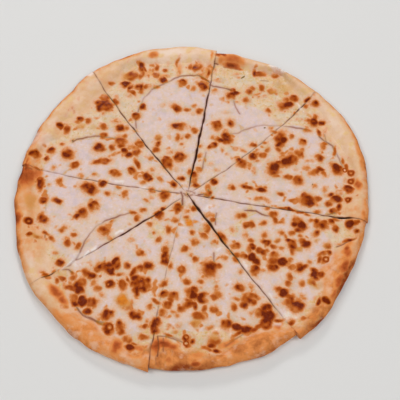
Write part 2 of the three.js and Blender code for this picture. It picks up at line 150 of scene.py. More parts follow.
# ---- What the oven did ----------------------------------------------------------
# Blisters in the cheese: x, y, half length, half width, turn, browning from 0 to 1
BLISTERS = (
    # top slice
    (-49.5, 138.8, 4.2, 2.2, -65, 0.95), (-46, 134.5, 3, 0.9, -60, 0.8), (-49.5, 134.3, 2.8, 2.5, 90, 0.75),
    (-48.8, 127.5, 4.6, 2.1, 85, 0.64), (-41.5, 126.5, 4, 1.2, 85, 0.42), (-44, 127.5, 3.4, 1.2, 90, 0.3),
    (-34.5, 127.8, 3.2, 3, 0, 0.85), (-33.8, 136, 3.5, 1.5, 100, 0.65), (-37, 133, 3, 1.2, 100, 0.4),
    (-40.5, 133.5, 3, 1.2, 90, 0.35), (-26, 132, 2.6, 1.8, 60, 0.65), (-28, 121.2, 3, 3, 0, 0.86),
    (-23.5, 126, 2.5, 1.6, 30, 0.4), (-34, 113.3, 2.6, 1.6, 10, 0.8), (-64, 117, 3.8, 3.6, 0, 0.92),
    (-59, 113.5, 3, 2.2, 60, 0.95), (-57.3, 106.8, 5, 1.4, -45, 0.72), (-58, 105, 3.5, 2.5, 0, 0.25),
    (-50.3, 111.9, 4, 3.8, 90, 0.95), (-43.6, 113.4, 2.8, 2.4, 0, 0.62), (-49.5, 107, 2.3, 1.9, 0, 0.6),
    (-9, 118.3, 3.8, 2.6, 0, 0.75), (-14.2, 142, 4.5, 1, 80, 0.5), (-13, 130, 4, 2, 90, 0.3),
    (-2, 137, 3, 2.2, 90, 0.55), (4.5, 136, 4.3, 3.6, 70, 0.85), (0.8, 111.5, 2, 2, 0, 0.35),
    (9.7, 113.9, 4.6, 3.8, -45, 0.86), (10.5, 118.5, 3, 1.8, -20, 0.5), (11.8, 121.9, 4.6, 1.1, -28, 0.78),
    (15.9, 130.6, 4, 1.1, 88, 0.8), (11, 132.5, 3.6, 3.2, 0, 0.3), (11, 125.6, 5, 4, 0, 0.4),
    (-58.3, 126.6, 6.6, 4.9, -5, 0.64), (-77, 118.2, 2.6, 1.5, 0, 0.62),
    (17.8, 134, 3.8, 5.2, 0, 0.4), (-15, 89.2, 4.4, 2.9, -40, 0.72),
    (-5.5, 88.5, 2.6, 1.9, 0, 0.6), (1.8, 91.8, 2, 1.8, 0, 0.4), (6.7, 85.8, 2.9, 2.7, 0, 0.78),
    (-27.5, 92.5, 2.2, 1.4, 20, 0.3), (-47.2, 91.2, 3.2, 2.6, 90, 0.8), (-52.8, 80.8, 3.9, 3.6, 40, 0.85),
    (0.8, 83, 1.5, 1.5, 0, 0.2), (-13.3, 68.8, 5.6, 3.2, -5, 0.95), (-13.3, 57.6, 3.4, 2, 85, 0.58),
    (-9, 57.6, 2, 1.2, 90, 0.35), (-3.2, 58.7, 2.6, 2.4, 0, 0.72), (2.1, 65.6, 2.9, 2.6, 0, 0.62),
    (-9.3, 50.1, 1.6, 1.3, 0, 0.45), (-31.5, 56.8, 2.6, 2.4, 0, 0.5), (-31.2, 50.1, 2.6, 1.7, 90, 0.82),
    (-32.8, 44.3, 2.8, 2.6, 30, 0.8), (-20.3, 42.1, 2.6, 2.4, 0, 0.3), (-11.7, 36.8, 4.9, 4.6, 0, 0.93),
    (-22.6, 30.3, 5.3, 4.2, -50, 0.82), (-23.5, 34.7, 3, 2.6, 0, 0.7), (-14.9, 24, 2, 1.8, 0, 0.3),
    (-9.4, 15.2, 2.4, 2.2, 0, 0.78), (-2.1, 20.3, 2.5, 1.5, 90, 0.6), (-72.5, 97, 3, 2, -60, 0.76),
    (-71.5, 101.5, 3, 1.5, -60, 0.35),
    # where the cuts meet
    (-4.5, -2.4, 1.8, 1.2, 0, 0.3), (15.6, 0.6, 2.2, 1.4, 80, 0.72),
    (-12.4, -17, 3.2, 2.6, 30, 0.9),
    # upper right slice
    (60, 129, 3, 2, 90, 0.85), (64.8, 128.3, 5.2, 3, 0, 0.75), (80, 126.6, 3.1, 2.5, 0, 0.86),
    (42.5, 127.5, 2.2, 2, 0, 0.3), (57.8, 111.8, 2.8, 2.2, 0, 0.6), (54.8, 107.3, 2.8, 2.8, 0, 0.7),
    (66.8, 112, 3.8, 2, 90, 0.65), (75.8, 108.8, 4.2, 2.6, 0, 0.5), (62, 105.5, 3.5, 1, 15, 0.4),
    (63, 102.8, 2, 1, 0, 0.4), (69, 102.8, 1.8, 1, 0, 0.35), (52, 98.3, 2.6, 2.6, 0, 0.55),
    (42.5, 96.5, 2, 0.8, 0, 0.35), (36.5, 103.5, 3.6, 3.4, 0, 0.98), (41.5, 105.5, 3.5, 2.2, 15, 1),
    (39, 108.5, 2.4, 2, 0, 0.8), (22, 108.3, 2.2, 1.8, 0, 0.45), (26, 120.5, 4, 1.5, 0, 0.3),
    (72.3, 87, 3, 2, 90, 0.6), (32, 84.5, 2.5, 1.2, 0, 0.3), (23.6, 70.3, 4.6, 4.1, 90, 0.82),
    (35.9, 73, 3.4, 3.3, 0, 0.78), (31.5, 63.5, 2, 2, 0, 0.55), (33, 57.6, 4.5, 4.5, 0, 0.93),
    (26.7, 54.4, 3.2, 2, 0, 0.85), (31.5, 52.3, 3, 1.8, 0, 0.75), (22.4, 56.5, 4, 2.4, -10, 0.55),
    (18.7, 48.5, 4.5, 2.2, 40, 0.82), (6.9, 48, 1.6, 1.3, 0, 0.5), (28.3, 43.7, 2, 1.2, 90, 0.35),
    (7.5, 38.1, 1.8, 1.6, 0, 0.45), (10.9, 32.5, 2.5, 1.2, 80, 0.5), (16.5, 28.8, 2, 1.5, 0, 0.25),
    (22.9, 23.5, 2, 1.5, 0, 0.25), (6.5, 23, 3, 2.5, 0, 0.45), (2, 17.5, 3, 3, 0, 0.85),
    (2.5, 12.5, 3, 3, 0, 0.65), (3.3, 8, 3.2, 2.6, 0, 0.82), (86.3, 92, 4.4, 3.8, 20, 0.92),
    (91.5, 94, 4, 2.8, 20, 0.85), (90, 99, 3.5, 3, 60, 0.55), (96.8, 100.5, 3.6, 2.8, -25, 0.72),
    (90.5, 106, 2, 1.8, 0, 0.35), (81.5, 118, 3, 2, 0, 0.2), (73.8, 67.2, 1.7, 1.7, 0, 0.35),
    (46.9, 43.2, 2.4, 1.2, -35, 0.5), (56, 49.3, 3, 2.2, 0, 0.75), (42.7, 33, 2.5, 2, 0, 0.9),
    # right slice
    (19.7, 11.7, 2.9, 2.2, 20, 0.88), (82.2, 54.9, 8, 4.5, 78, 0.86), (85.5, 54.5, 3, 3.2, 0, 1.0),
    (76.5, 63, 2.5, 1.6, -20, 0.65),
    (79.8, 48.8, 2.5, 2.5, 0, 0.75), (79.3, 44, 2.8, 1.6, -20, 0.5), (83, 40.3, 2.5, 1.5, 0, 0.45),
    (88, 33, 8.4, 4, 28, 0.95), (83.5, 36.4, 3.2, 2.6, 0, 0.6), (78.5, 30, 3, 2.5, 0, 0.8),
    (98.8, 39.6, 3, 3, 0, 0.85), (101.6, 43.2, 2.6, 2, 60, 0.5), (101, 37, 1.5, 1.2, 0, 0.5),
    (98, 37, 2, 2, 0, 0.35), (74.7, 24.5, 6.5, 5.2, 80, 0.93), (76.3, 16.5, 3, 1.5, 0, 0.55),
    (87.3, 15.7, 4.2, 2.3, -10, 0.65), (96.3, 13, 4.2, 4, 0, 0.85), (80.3, -1.3, 3, 1.6, -15, 0.6),
    (90.5, -7.5, 5, 1.3, -5, 0.5), (105.4, 32.8, 1.8, 1.5, 0, 0.35), (109, 32.8, 1.5, 1, 0, 0.3),
    (105.4, 24.8, 3, 2, -30, 0.6), (112.3, 21.6, 4.5, 3, 25, 0.72), (116.6, 24.3, 3.5, 2.6, -10, 0.75),
    (109, 19.5, 2.5, 1.8, 0, 0.65), (119.8, 19.5, 2.6, 2, -60, 0.6), (95.3, 24.8, 1.8, 1.5, 0, 0.2),
    (102.7, 52.2, 2.8, 2.6, 90, 0.92), (92.4, 58.5, 2.3, 2.3, 0, 0.62), (122, 50.5, 2.6, 2, 0, 0.88),
    (120.6, 47.7, 3, 2, 80, 0.6), (119, 42.4, 3, 1.2, 90, 0.3), (118, 36, 3.8, 3.4, 0, 0.88),
    (131.5, 42.4, 4.5, 1.2, 85, 0.6), (131.8, 24.8, 5.2, 3.9, -50, 0.95), (138.5, 33, 3, 1, 90, 0.5),
    (140.6, 25.9, 3.5, 1.5, 90, 0.75), (141.7, 23.2, 1.5, 1.5, 0, 0.7), (144.6, 20.5, 3, 2.8, 30, 0.85),
    (143.9, 11.8, 2.8, 2.6, 0, 0.85), (139.7, -6.8, 2.5, 2.4, 0, 0.9), (116.7, 94, 3.1, 2.9, 0, 0.85),
    (109.3, 98.7, 2.8, 1.3, 30, 0.95), (109.5, 95, 3, 2.2, 0, 0.3), (107.8, 92.3, 2.4, 1.8, 0, 0.6),
    (97.3, 84, 2, 1.6, 45, 0.5), (114, 74, 4, 3.8, 0, 0.92), (109.5, 75.5, 3, 2, -20, 0.6),
    (116, 79.5, 4, 2.2, 90, 0.6), (121, 73.3, 2.4, 2.2, 0, 0.85), (118, 62.5, 3.6, 1.2, 100, 0.8),
    (123.3, 63.5, 4, 1.4, 80, 0.5), (107, 65, 3, 1.8, 0, 0.45), (139, 13, 2, 1, 90, 0.3),
    (140.6, 4, 5.2, 3, -20, 0.85), (132.3, 1.9, 1.5, 1, 0, 0.5), (132.6, -0.3, 3, 1.2, 0, 0.35),
    (120.3, 3.5, 2.5, 1.8, 60, 0.4), (110.7, 6.7, 2.2, 2, 0, 0.35), (103.3, -7.5, 5.8, 5.4, 0, 0.82),
    (105.5, -11, 3.4, 2.6, 20, 0.98),
    (101, -3.5, 3, 3, 0, 0.75), (112.6, -5.6, 3, 2.4, 0, 0.6), (111.8, -12.5, 1.6, 1.5, 0, 0.4),
    (111.3, -19, 2.2, 1.4, 0, 0.6), (124.6, -2.4, 2.4, 1.6, 15, 0.75), (120.3, -2.4, 2, 1.5, 0, 0.3),
    (130.5, -6.7, 4.2, 3.4, -10, 0.92), (127.3, -6.1, 3, 2, 45, 0.75), (121.9, -11.5, 2.6, 2.2, 30, 0.8),
    (131, -14.1, 3, 1.8, 70, 0.95), (126.2, -17.9, 3.5, 2.5, 10, 0.9), (68, 51.2, 1.8, 1, 0, 0.5),
    (69.3, 43.7, 2, 1.5, 30, 0.6), (56.5, 37.9, 3.9, 3.2, 0, 0.78), (66.1, 38.4, 3.6, 2.6, 0, 0.68),
    (60.8, 39.5, 2, 1.5, 0, 0.45), (59.7, 32.5, 2, 1.4, 0, 0.5), (59.2, 43.2, 2, 1.4, 0, 0.35),
    (45.4, 30.4, 4, 3.3, -35, 0.92), (53.3, 28.8, 2, 1.6, 0, 0.55), (52.3, 27.2, 1.5, 1.2, 0, 0.35),
    (56.5, 22.4, 3, 1.6, 90, 0.4), (37, 4.9, 2.2, 2, 0, 0.6), (34.1, 4.8, 1.8, 1.6, 0, 0.35),
    (50.1, 5.3, 5, 2.2, -15, 0.85), (62.9, 2.7, 4.5, 1.9, -25, 0.95), (66, 5.3, 2, 1.5, 0, 0.45),
    (13.9, 4.3, 4, 1.8, 80, 0.6), (12.6, -1.2, 3.6, 2.2, -10, 0.5), (18.5, -4.9, 1.5, 1, 0, 0.8),
    (60, -5.5, 3.4, 1.4, 0, 0.55), (66.5, -7, 2.5, 1.2, -30, 0.4), (67.5, -14.9, 2.2, 1.6, 0, 0.5),
    (81.5, -15.7, 4.5, 0.9, -8, 0.75),
    (89, -16.9, 4.6, 1.4, -8, 0.9), (96.5, -19.4, 4.6, 1.1, -12, 0.85), (102.5, -21.5, 3, 0.8, -10, 0.6),
    # upper left slice
    (-71.5, 75.7, 3.5, 2.5, 0, 0.35), (-70.5, 75, 2.5, 0.8, 0, 0.6), (-67.5, 67.9, 3.6, 3.3, 0, 0.92),
    (-61.6, 68.5, 1.8, 1.8, 0, 0.55), (-62.9, 59.2, 2.2, 2, 0, 0.5), (-66.7, 52.8, 4.8, 4.6, 0, 0.88),
    (-65.6, 48.5, 3.4, 2, 0, 0.7), (-73.9, 46.9, 3.4, 2.4, 90, 0.62), (-69.9, 40.5, 4.5, 1.8, 20, 0.5),
    (-75.2, 37.9, 1.5, 1.5, 0, 0.45), (-61.6, 43.2, 3.2, 2.2, -30, 0.85), (-57.6, 39.7, 3.2, 2.8, 0, 0.98),
    (-51.7, 41.6, 3.2, 3, 0, 0.82), (-52.3, 45.9, 2.5, 2.5, 0, 0.55), (-49.1, 50.1, 4, 2.9, -35, 0.9),
    (-56.5, 48, 4, 3, 0, 0.35), (-53.3, 65, 2.2, 1.8, 0, 0.6), (-50, 30.2, 4.8, 1.7, -65, 0.88),
    (-55.2, 22.4, 3.6, 3.4, 0, 0.82), (-70.4, 20.8, 3.6, 3.2, 0, 0.75), (-67.2, 18.7, 2, 1.5, 0, 0.65),
    (-40.5, 17, 4.4, 3.6, -15, 0.9), (-37.9, 13.9, 2.5, 1.4, 20, 0.95), (-44.3, 11.2, 2.6, 2.5, 0, 0.5),
    (-46.9, 17.6, 2, 1.5, 0, 0.35), (-35.7, 23.5, 2, 1.8, 0, 0.45), (-37.6, 35.7, 2.5, 2, 0, 0.5),
    (-28.7, 13.9, 3, 1.8, -50, 0.5), (-16.5, 8.9, 2.4, 2.3, 0, 0.82), (-82, 32.4, 7, 2.6, 5, 0.88),
    (-80.4, 9.2, 2.6, 2.3, 0, 0.85), (-85.6, 46.5, 4.6, 4.2, 0, 0.95), (-82.3, 59.7, 3, 2.6, 30, 0.78),
    (-82.9, 69.9, 3.2, 3.2, 0, 0.72), (-114.1, 40.5, 5, 4.8, 0, 0.8), (-106.9, 29.4, 3.6, 2.7, 15, 0.8),
    (-101.2, 17.3, 1.8, 1.8, 0, 0.55), (-126.1, 26.4, 1.8, 1.6, 0, 0.38), (-133.6, 36, 2.8, 2.6, 0, 0.78),
    (-144.2, 39.8, 4.2, 4, 0, 0.88), (-129.8, 44.6, 3.8, 2.7, 80, 0.72), (-120.4, 50.7, 2, 1.8, 0, 0.6),
    (-110.5, 54.3, 1.2, 1.2, 0, 0.55), (-123.1, 70.5, 3.4, 2.6, 10, 0.85), (-116.8, 67.1, 4, 2.8, 90, 0.8),
    (-104.8, 77.7, 3, 2.4, 0, 0.8), (-107.5, 74.7, 2, 1.5, 0, 0.6), (-105.1, 69.3, 3.2, 3, 0, 0.42),
    (-97.3, 75.3, 3, 2.2, 90, 0.72), (-86.5, 95.5, 5, 4, 0, 0.85), (-79.5, 92, 4.5, 4.5, 0, 0.85),
    (-87, 90.5, 4.4, 3, -20, 0.85), (-82, 97, 4, 3, 0, 0.75),
    (-84, 93.5, 4, 1.5, 0, 0.98), (-83.5, 101.5, 3.2, 4, 90, 0.7), (-81.5, 88.5, 3, 2, 0, 0.8),
    (-83, 84.5, 2, 1.5, 90, 0.35), (-114, 89.5, 1.2, 1.5, 0, 0.45), (-129, 39.5, 3, 0.8, 60, 0.35),
    (-88.5, 18.5, 1.5, 1.2, 0, 0.5),
    # left slice
    (-137.2, 14.1, 2.8, 2.4, 0, 0.85), (-137.2, 9.5, 6, 2.5, 90, 0.82), (-120.1, 12.6, 2.6, 2.6, 0, 0.65),
    (-130, 9, 1.2, 1, 0, 0.45), (-92.3, 5.5, 6.8, 4.8, -15, 0.92), (-75.7, -0.4, 2.4, 1.6, 0, 0.65),
    (-66.1, 5.6, 2.4, 1.5, 0, 0.5), (-60.3, -0.5, 3.2, 2.1, 90, 0.6), (-35.7, 2.1, 3, 2.6, 0, 0.75),
    (-24.6, -1.5, 4, 3.6, -40, 0.82), (-132.3, -6, 3.4, 2.8, 60, 0.85), (-120.5, -7.5, 4, 2.2, -15, 0.8),
    (-87.5, -12, 5.3, 4.2, -75, 0.86), (-97, -19, 5, 4, 80, 0.92), (-102.5, -23, 3.2, 2.5, 20, 0.88),
    (-144, -27, 3.4, 3, -30, 0.85), (-131.5, -25.5, 5.5, 3, -50, 0.88), (-135.5, -24, 2, 2.4, 0, 0.6),
    (-112, -34, 2, 1.6, 0, 0.6), (-114, -36.5, 2, 1.5, 0, 0.6), (-103.5, -40.5, 2.2, 1.8, 0, 0.55),
    (-108, -48, 2.5, 2.7, 0, 0.68), (-110, -44.5, 2, 1.5, 0, 0.3), (-128.5, -38.5, 3, 1, -35, 0.8),
    (-123, -44.5, 2.8, 1.3, -60, 0.65), (-136, -33, 2.5, 1.5, -40, 0.35), (-141, -40.8, 2.6, 2.3, 0, 0.85),
    (-136, -42.6, 2.5, 1.5, -10, 0.65), (-141.5, 25.5, 3, 1.2, -35, 0.75), (-137.5, 24.5, 1.5, 1.3, 0, 0.5),
    (-40.5, -8.3, 2, 1.5, -10, 0.5), (-35.7, -5.3, 1.5, 1, 0, 0.3), (-43.5, -17.7, 2.4, 1.6, 10, 0.85),
    (-52, -20.3, 3, 1.4, -5, 0.75), (-54, -18.5, 1.5, 1, 0, 0.45), (-48.5, -25, 2.4, 2.6, 0, 0.6),
    (-77, -37, 4.5, 4, 80, 0.82), (-71.5, -43.8, 2.6, 2, -30, 0.75), (-98.3, -51.2, 2.2, 2.2, 0, 0.68),
    (-119, -57.5, 2.2, 2, 0, 0.5), (-114.5, -66.3, 3.6, 3, 0, 0.82), (-131.5, -43, 1.5, 1.3, 0, 0.35),
    (-127.5, -44.5, 1.5, 1.5, 0, 0.3), (-70, -1, 1.5, 1.5, 0, 0.3),
    # lower left slice
    (-12.6, -14.3, 4, 3.2, 20, 0.88), (-29, -21.4, 3.5, 3.4, 0, 0.9), (-25.8, -15.3, 2.4, 1.1, 45, 0.9),
    (-14.4, -25.8, 2.8, 2.4, 0, 0.55), (-37.5, -30.5, 2, 2, 0, 0.6), (-33.3, -38.8, 1.6, 1.2, 0, 0.5),
    (-20.8, -35.5, 3, 1.8, -80, 0.72), (-29.2, -45.5, 2.2, 2.4, 0, 0.65),
    (-21.8, -55.5, 4.5, 2.6, 75, 0.85),
    (-23.5, -63, 5, 3.3, 100, 0.92), (-21.5, -50, 2.5, 1.5, 90, 0.45), (-18.5, -70.3, 2.2, 0.9, 75, 0.85),
    (-44.7, -57.5, 3.2, 2.4, -50, 0.7), (-53.5, -46, 2.2, 2, 0, 0.35), (-70, -27.5, 3.2, 1, 40, 0.45),
    (-64.8, -67.2, 4.9, 3.4, 75, 0.95), (-71, -72, 5, 4.5, 90, 0.95), (-69, -77, 2.5, 1.5, 0, 0.95),
    (-76.8, -70.4, 4, 3.2, 0, 0.94), (-81, -72.2, 2.5, 2.3, 0, 0.75), (-55.5, -69.9, 2.6, 2.5, 0, 0.78),
    (-61.3, -77.5, 2.5, 1.5, 0, 0.64), (-37.7, -70, 3.8, 3.2, 0, 0.85), (-44, -71.8, 4, 2.2, 30, 0.7),
    (-49.5, -75.5, 4, 2.6, 40, 0.9), (-51.8, -78.3, 1.6, 1.4, 0, 0.8), (-125.3, -78.8, 3, 1.8, 10, 0.97),
    (-127.5, -76.8, 2, 1.5, 0, 0.6), (-118.5, -75.3, 1.6, 1.4, 0, 0.5), (-111, -81, 3, 2.2, -20, 0.72),
    (-101.5, -81.2, 2.4, 2.2, 0, 0.72), (-103, -75.8, 2, 1, -40, 0.65), (-115.5, -83, 2.4, 1.4, 90, 0.6),
    (-108.5, -87.5, 3, 1.5, 90, 0.3), (-103.5, -86, 2.5, 1, 90, 0.45), (-102, -90.5, 5, 1.8, -10, 0.85),
    (-97, -87.5, 5, 3, 40, 0.9), (-93.5, -85, 3.5, 3, 90, 0.82), (-95.5, -91.5, 4, 3.4, 0, 0.9),
    (-93, -92.5, 2.6, 2, 90, 0.88), (-90, -76, 3.4, 3.2, 0, 0.85), (-86.5, -78.5, 4, 3.6, 0, 0.92),
    (-83.5, -85.5, 3.4, 2, 90, 0.4), (-80, -90.5, 3, 3, 0, 0.55), (-76, -96, 2, 1.4, -40, 0.38),
    (-70.3, -86.3, 3.9, 3, -5, 0.82), (-59, -87, 3.6, 3.2, 90, 0.85), (-54.3, -83, 2.2, 0.8, -65, 0.75),
    (-99.3, -100.5, 5, 3, 90, 0.93), (-98, -104, 3, 2, 0, 0.97), (-92, -101, 4, 3.4, 90, 0.98),
    (-84.5, -102, 4.4, 3.6, -5, 0.85), (-87.5, -110, 3, 2.8, 0, 0.75),
    (-107.2, -106.2, 2.4, 2.2, 0, 0.42), (-46, -82, 5.5, 3.6, 0, 0.9),
    (-44.5, -86.5, 6, 4, 0, 0.97), (-39, -83.6, 3.2, 2.6, 90, 0.8), (-38.5, -88.5, 3, 2.4, 0, 0.85),
    (-50, -87, 3, 2.6, 90, 0.75), (-47, -92, 3.6, 3, 90, 0.93), (-46.5, -96, 1.8, 1.4, 0, 0.75),
    (-32.5, -91, 3, 1.6, 90, 0.45), (-24.5, -86.5, 3.2, 2, 50, 0.75), (-58, -97, 3.4, 3, 90, 0.45),
    (-58, -103, 5.5, 4.5, 0, 0.48), (-55, -106, 3, 3, 0, 0.6), (-52, -102.5, 2.5, 2, 0, 0.5),
    (-41.5, -91.6, 3, 2.6, 0, 0.85),
    (-47.5, -114.5, 5.5, 3.4, -25, 0.85), (-71, -113.8, 5, 3.6, 15, 0.92), (-70, -122.5, 4, 3, -20, 0.85),
    (-70.5, -127, 4, 3, -35, 0.93), (-66.5, -126, 3, 1.5, 90, 0.95), (-77, -120.5, 4, 1.2, -30, 0.6),
    (-60, -121.5, 2.6, 2.6, 0, 0.9), (-60, -125, 3, 2.4, 0, 0.75), (-58.5, -128.3, 3, 2, -25, 0.88),
    (-53.5, -135, 3, 3, 0, 0.6), (-50.5, -142.2, 3.7, 2.5, -5, 0.98), (-42, -144.6, 8, 1.8, 33, 0.4),
    (-47.5, -138.3, 2.6, 1, -10, 0.7),
    (-40, -132.5, 3.8, 2.2, 0, 0.65), (-38.5, -124, 3, 1.8, 25, 0.78), (-42, -125, 2, 1.4, 0, 0.5),
    (-37, -119.5, 1.5, 1.5, 0, 0.4), (-35.5, -106.5, 2.2, 2, 0, 0.55), (-30, -102.5, 3.6, 2, -35, 0.65),
    (-29.5, -120.5, 3.4, 3, 80, 0.93), (-31, -125.5, 4, 3, 90, 0.97), (-32, -128.5, 1.5, 1.5, 0, 0.95),
    # bottom slice
    (-4.1, -18.5, 2.4, 1.6, 0, 0.5), (1.8, -16, 2.6, 2.2, 0, 0.75), (-4.4, -24.1, 1.8, 1.2, 0, 0.55),
    (13.5, -34.8, 4, 2.4, 100, 0.78), (11, -41.3, 3.8, 1.9, -20, 0.75), (0.3, -39.2, 2, 1.6, 90, 0.7),
    (2.5, -47.5, 2.8, 2.6, 30, 0.75), (20, -48.3, 2.2, 2, 0, 0.5), (-13.3, -40.5, 2, 1, 90, 0.35),
    (-5.5, -54.5, 3.4, 2.6, 15, 0.68), (-8, -73.5, 3.2, 2.8, 90, 0.72), (-0.5, -60, 1.5, 1.5, 0, 0.4),
    (28, -62.8, 2.2, 1.6, 0, 0.6), (3.7, -64.5, 3, 2.6, 0, 0.6), (9.5, -68.5, 1.8, 1.2, 0, 0.4),
    (16, -73.3, 6.5, 5.5, 90, 0.86), (22.5, -71, 3, 2.8, 90, 0.6), (42.3, -76, 2, 1.8, 90, 0.4),
    (33.5, -57, 3, 2.4, -55, 0.55), (38.3, -64.5, 3, 2, -55, 0.68), (-4, -84, 2.8, 2.6, 0, 0.62),
    (8, -84.3, 2, 2, 0, 0.68), (7.8, -89.3, 1.2, 0.8, 0, 0.4), (21, -85.3, 1.5, 1, 0, 0.3),
    (21.5, -91.5, 2.8, 2.4, 90, 0.55), (22.5, -96.5, 3.4, 2.6, -30, 0.6), (19, -98.8, 3, 2, 0, 0.6),
    (-2.5, -94.5, 3.4, 2.6, 90, 0.8), (1.5, -93, 3, 3, 0, 0.95), (2.5, -97.5, 3.6, 3, 0, 0.98),
    (10, -95.8, 4, 3, 0, 0.85), (8.5, -100.5, 4.5, 4, 0, 0.97), (2.5, -106.5, 3.6, 2, 100, 0.8),
    (0.5, -104.5, 2, 2, 0, 0.8), (10.5, -109.5, 3, 2.4, 90, 0.55), (5, -115.5, 3.8, 3.5, 90, 0.75),
    (9.5, -116.5, 3, 2.6, 0, 0.65), (3, -122.5, 3.4, 2.2, 0, 0.5), (19, -108.8, 2.9, 2.7, 0, 0.82),
    (35.7, -108, 3.4, 3, 90, 0.6), (40.7, -89.5, 3.6, 3.4, 0, 0.85), (51, -88, 3, 1.6, -20, 0.4),
    (38.5, -99.8, 3, 1.2, -10, 0.5), (50, -97.5, 5, 3.4, -5, 0.95), (47, -101, 4, 4, 0, 0.9),
    (44.5, -105.5, 3, 3, 0, 0.8), (51.5, -102.4, 2.6, 2.2, 90, 0.85), (63.5, -106.5, 4.4, 2.8, -10, 0.82),
    (57, -112, 4, 4, 90, 0.82), (62.6, -108.6, 4.4, 3.4, 0, 0.84), (65, -116, 5.4, 5, 90, 0.98),
    (62, -122.5, 5, 4, 20, 0.98), (60.5, -113.5, 3.5, 3, 0, 0.9),
    (56, -124.5, 4, 2, 25, 0.85), (52, -127.5, 3.5, 1.6, 25, 0.8), (45, -126.5, 5, 3.2, -5, 0.97),
    (37.5, -125.2, 4.3, 2.5, -5, 0.9), (39, -129.5, 3, 1.4, 30, 0.8), (36.5, -132.2, 3, 1.2, 25, 0.8),
    (34, -136.5, 4, 1.4, 30, 0.6), (29.4, -122.6, 4.3, 3.7, -30, 0.93), (15.5, -124.8, 2.5, 1.4, 20, 0.6),
    (20, -131, 2.4, 2, 0, 0.55), (19, -136.5, 4.5, 4, 0, 0.72), (17, -140.3, 3, 1.6, 0, 0.95),
    (21, -145, 2.8, 1.6, 0, 0.95), (12, -142.3, 3, 1, -10, 0.7), (15, -143.5, 2.5, 1, -40, 0.75),
    (1, -137, 2.4, 1.8, 0, 0.85), (28, -139.5, 1.5, 1.5, 0, 0.45), (73, -119.5, 3.4, 1.2, 15, 0.75),
    (50.5, -113.5, 1.3, 1.3, 0, 0.5), (-22.5, -96, 4, 2.6, 10, 0.9), (-17, -97, 4, 3, 0, 0.75),
    (-13, -98, 3, 2, 90, 0.6), (-18.5, -101.5, 2.6, 2.2, 90, 0.7), (-20, -106, 3.4, 3, 90, 0.85),
    (-24, -112.7, 3.4, 3, 0, 0.75), (-15.5, -111.5, 2, 1, 0, 0.4), (-12, -114.3, 1.6, 1.4, 0, 0.4),
    (-7.5, -108.3, 3, 2.4, 20, 0.8), (-3, -105, 4, 3, 20, 0.9), (-2.5, -101.5, 3, 2, 0, 0.8),
    (-10, -123, 2, 2, 0, 0.3), (-13.5, -128, 2, 1.6, 0, 0.4), (-3.8, -134.5, 2.8, 2.6, 0, 0.92),
    (-3.5, -140, 2.4, 1.6, 0, 0.95), (-24.5, -141.5, 1.6, 1, 0, 0.85), (-19, -131, 4, 0.8, -15, 0.6),
    # lower right slice
    (18.9, -26.8, 2.4, 2.4, 30, 0.6), (26, -44, 5.5, 2.2, -52, 0.82), (38.5, -51, 3.6, 2.4, -5, 0.72),
    (41.3, -23.3, 2.4, 2.2, 0, 0.65), (46, -22.3, 2.8, 2.4, 0, 0.68), (72.5, -22, 3.6, 2.8, -20, 0.72),
    (74, -26.5, 3.6, 2.4, -60, 0.8), (79, -28.8, 2, 1.4, 0, 0.6), (48.5, -31.3, 2.8, 2.8, 0, 0.95),
    (52.3, -32, 3, 2.4, 90, 0.85), (36, -36, 1.8, 1.6, 0, 0.35), (62.8, -29.8, 3, 1.6, 20, 0.65),
    (64, -41.3, 2.6, 2, 0, 0.6), (47.3, -41.5, 3, 1.5, 90, 0.4), (52, -47, 3, 1.8, -15, 0.6),
    (74.8, -47, 2.2, 1.6, 30, 0.6), (65, -48.5, 3.6, 2.6, -30, 0.8), (71.5, -51.7, 2.4, 1.6, 0, 0.65),
    (78, -53, 2.5, 1.5, 0, 0.4), (58.5, -56.5, 2.6, 2.6, 0, 0.88), (61.5, -58, 2.8, 2.4, 0, 0.95),
    (64.5, -56.5, 2, 1.5, 0, 0.7), (53.5, -52.5, 3, 2.4, 0, 0.85), (50, -55.5, 3, 1.5, 90, 0.7),
    (52, -62.5, 3.8, 3.4, 90, 0.97), (55.5, -66.5, 3.4, 3.2, 0, 0.92), (45, -61, 3.6, 2.4, -15, 0.75),
    (40.3, -60.3, 2.6, 2.4, 0, 0.7), (55, -74, 4, 4, 0, 0.85), (60.5, -74.5, 2.5, 2, 0, 0.45),
    (72, -60, 4, 3.4, -20, 0.92), (71, -65.5, 4.5, 3, 0, 0.75), (78, -66, 4, 3.6, 0, 0.97),
    (70, -71.5, 4, 3.4, 0, 0.95), (79, -39, 2, 1.4, 0, 0.6), (88.5, -39.5, 3, 1.8, 20, 0.6),
    (82.5, -42.5, 3, 1.2, -60, 0.5), (92.5, -27.5, 3, 3, 0, 0.7), (91, -31, 2.6, 2.4, 0, 0.88),
    (97, -32, 4.4, 4.2, 0, 0.84), (93.5, -36.5, 3, 2, 0, 0.8), (95.5, -42.3, 1.8, 1.4, 0, 0.6),
    (97, -47.5, 3, 3, 0, 0.8), (100, -50.5, 4, 3.6, 0, 0.95), (86.5, -47.5, 4, 1.6, -25, 0.92),
    (88, -51.5, 4, 3.6, 90, 0.85), (87.5, -56.5, 3, 2, 90, 0.75), (94, -54.5, 3, 2.4, 0, 0.45),
    (109, -39.8, 3.4, 2, 40, 0.75), (106.5, -27.3, 2.5, 1.6, -20, 0.55), (111, -28.5, 3, 2.2, 0, 0.9),
    (110.5, -32, 2.6, 2.4, 0, 0.85), (116, -31.8, 4, 4, 0, 0.86), (123.5, -27.8, 2.8, 2, 0, 0.92),
    (127.6, -26.2, 3.6, 1.3, 0, 0.72),
    (126, -34.7, 3.4, 2.6, 90, 0.75), (139.3, -31.5, 4, 3, 90, 0.95), (144, -31, 3, 2.6, 90, 0.65),
    (146.5, -29.5, 1.5, 1.5, 0, 0.7), (144.5, -38.8, 2, 1.6, 0, 0.85), (118.7, -51, 2.8, 2.8, 0, 0.55),
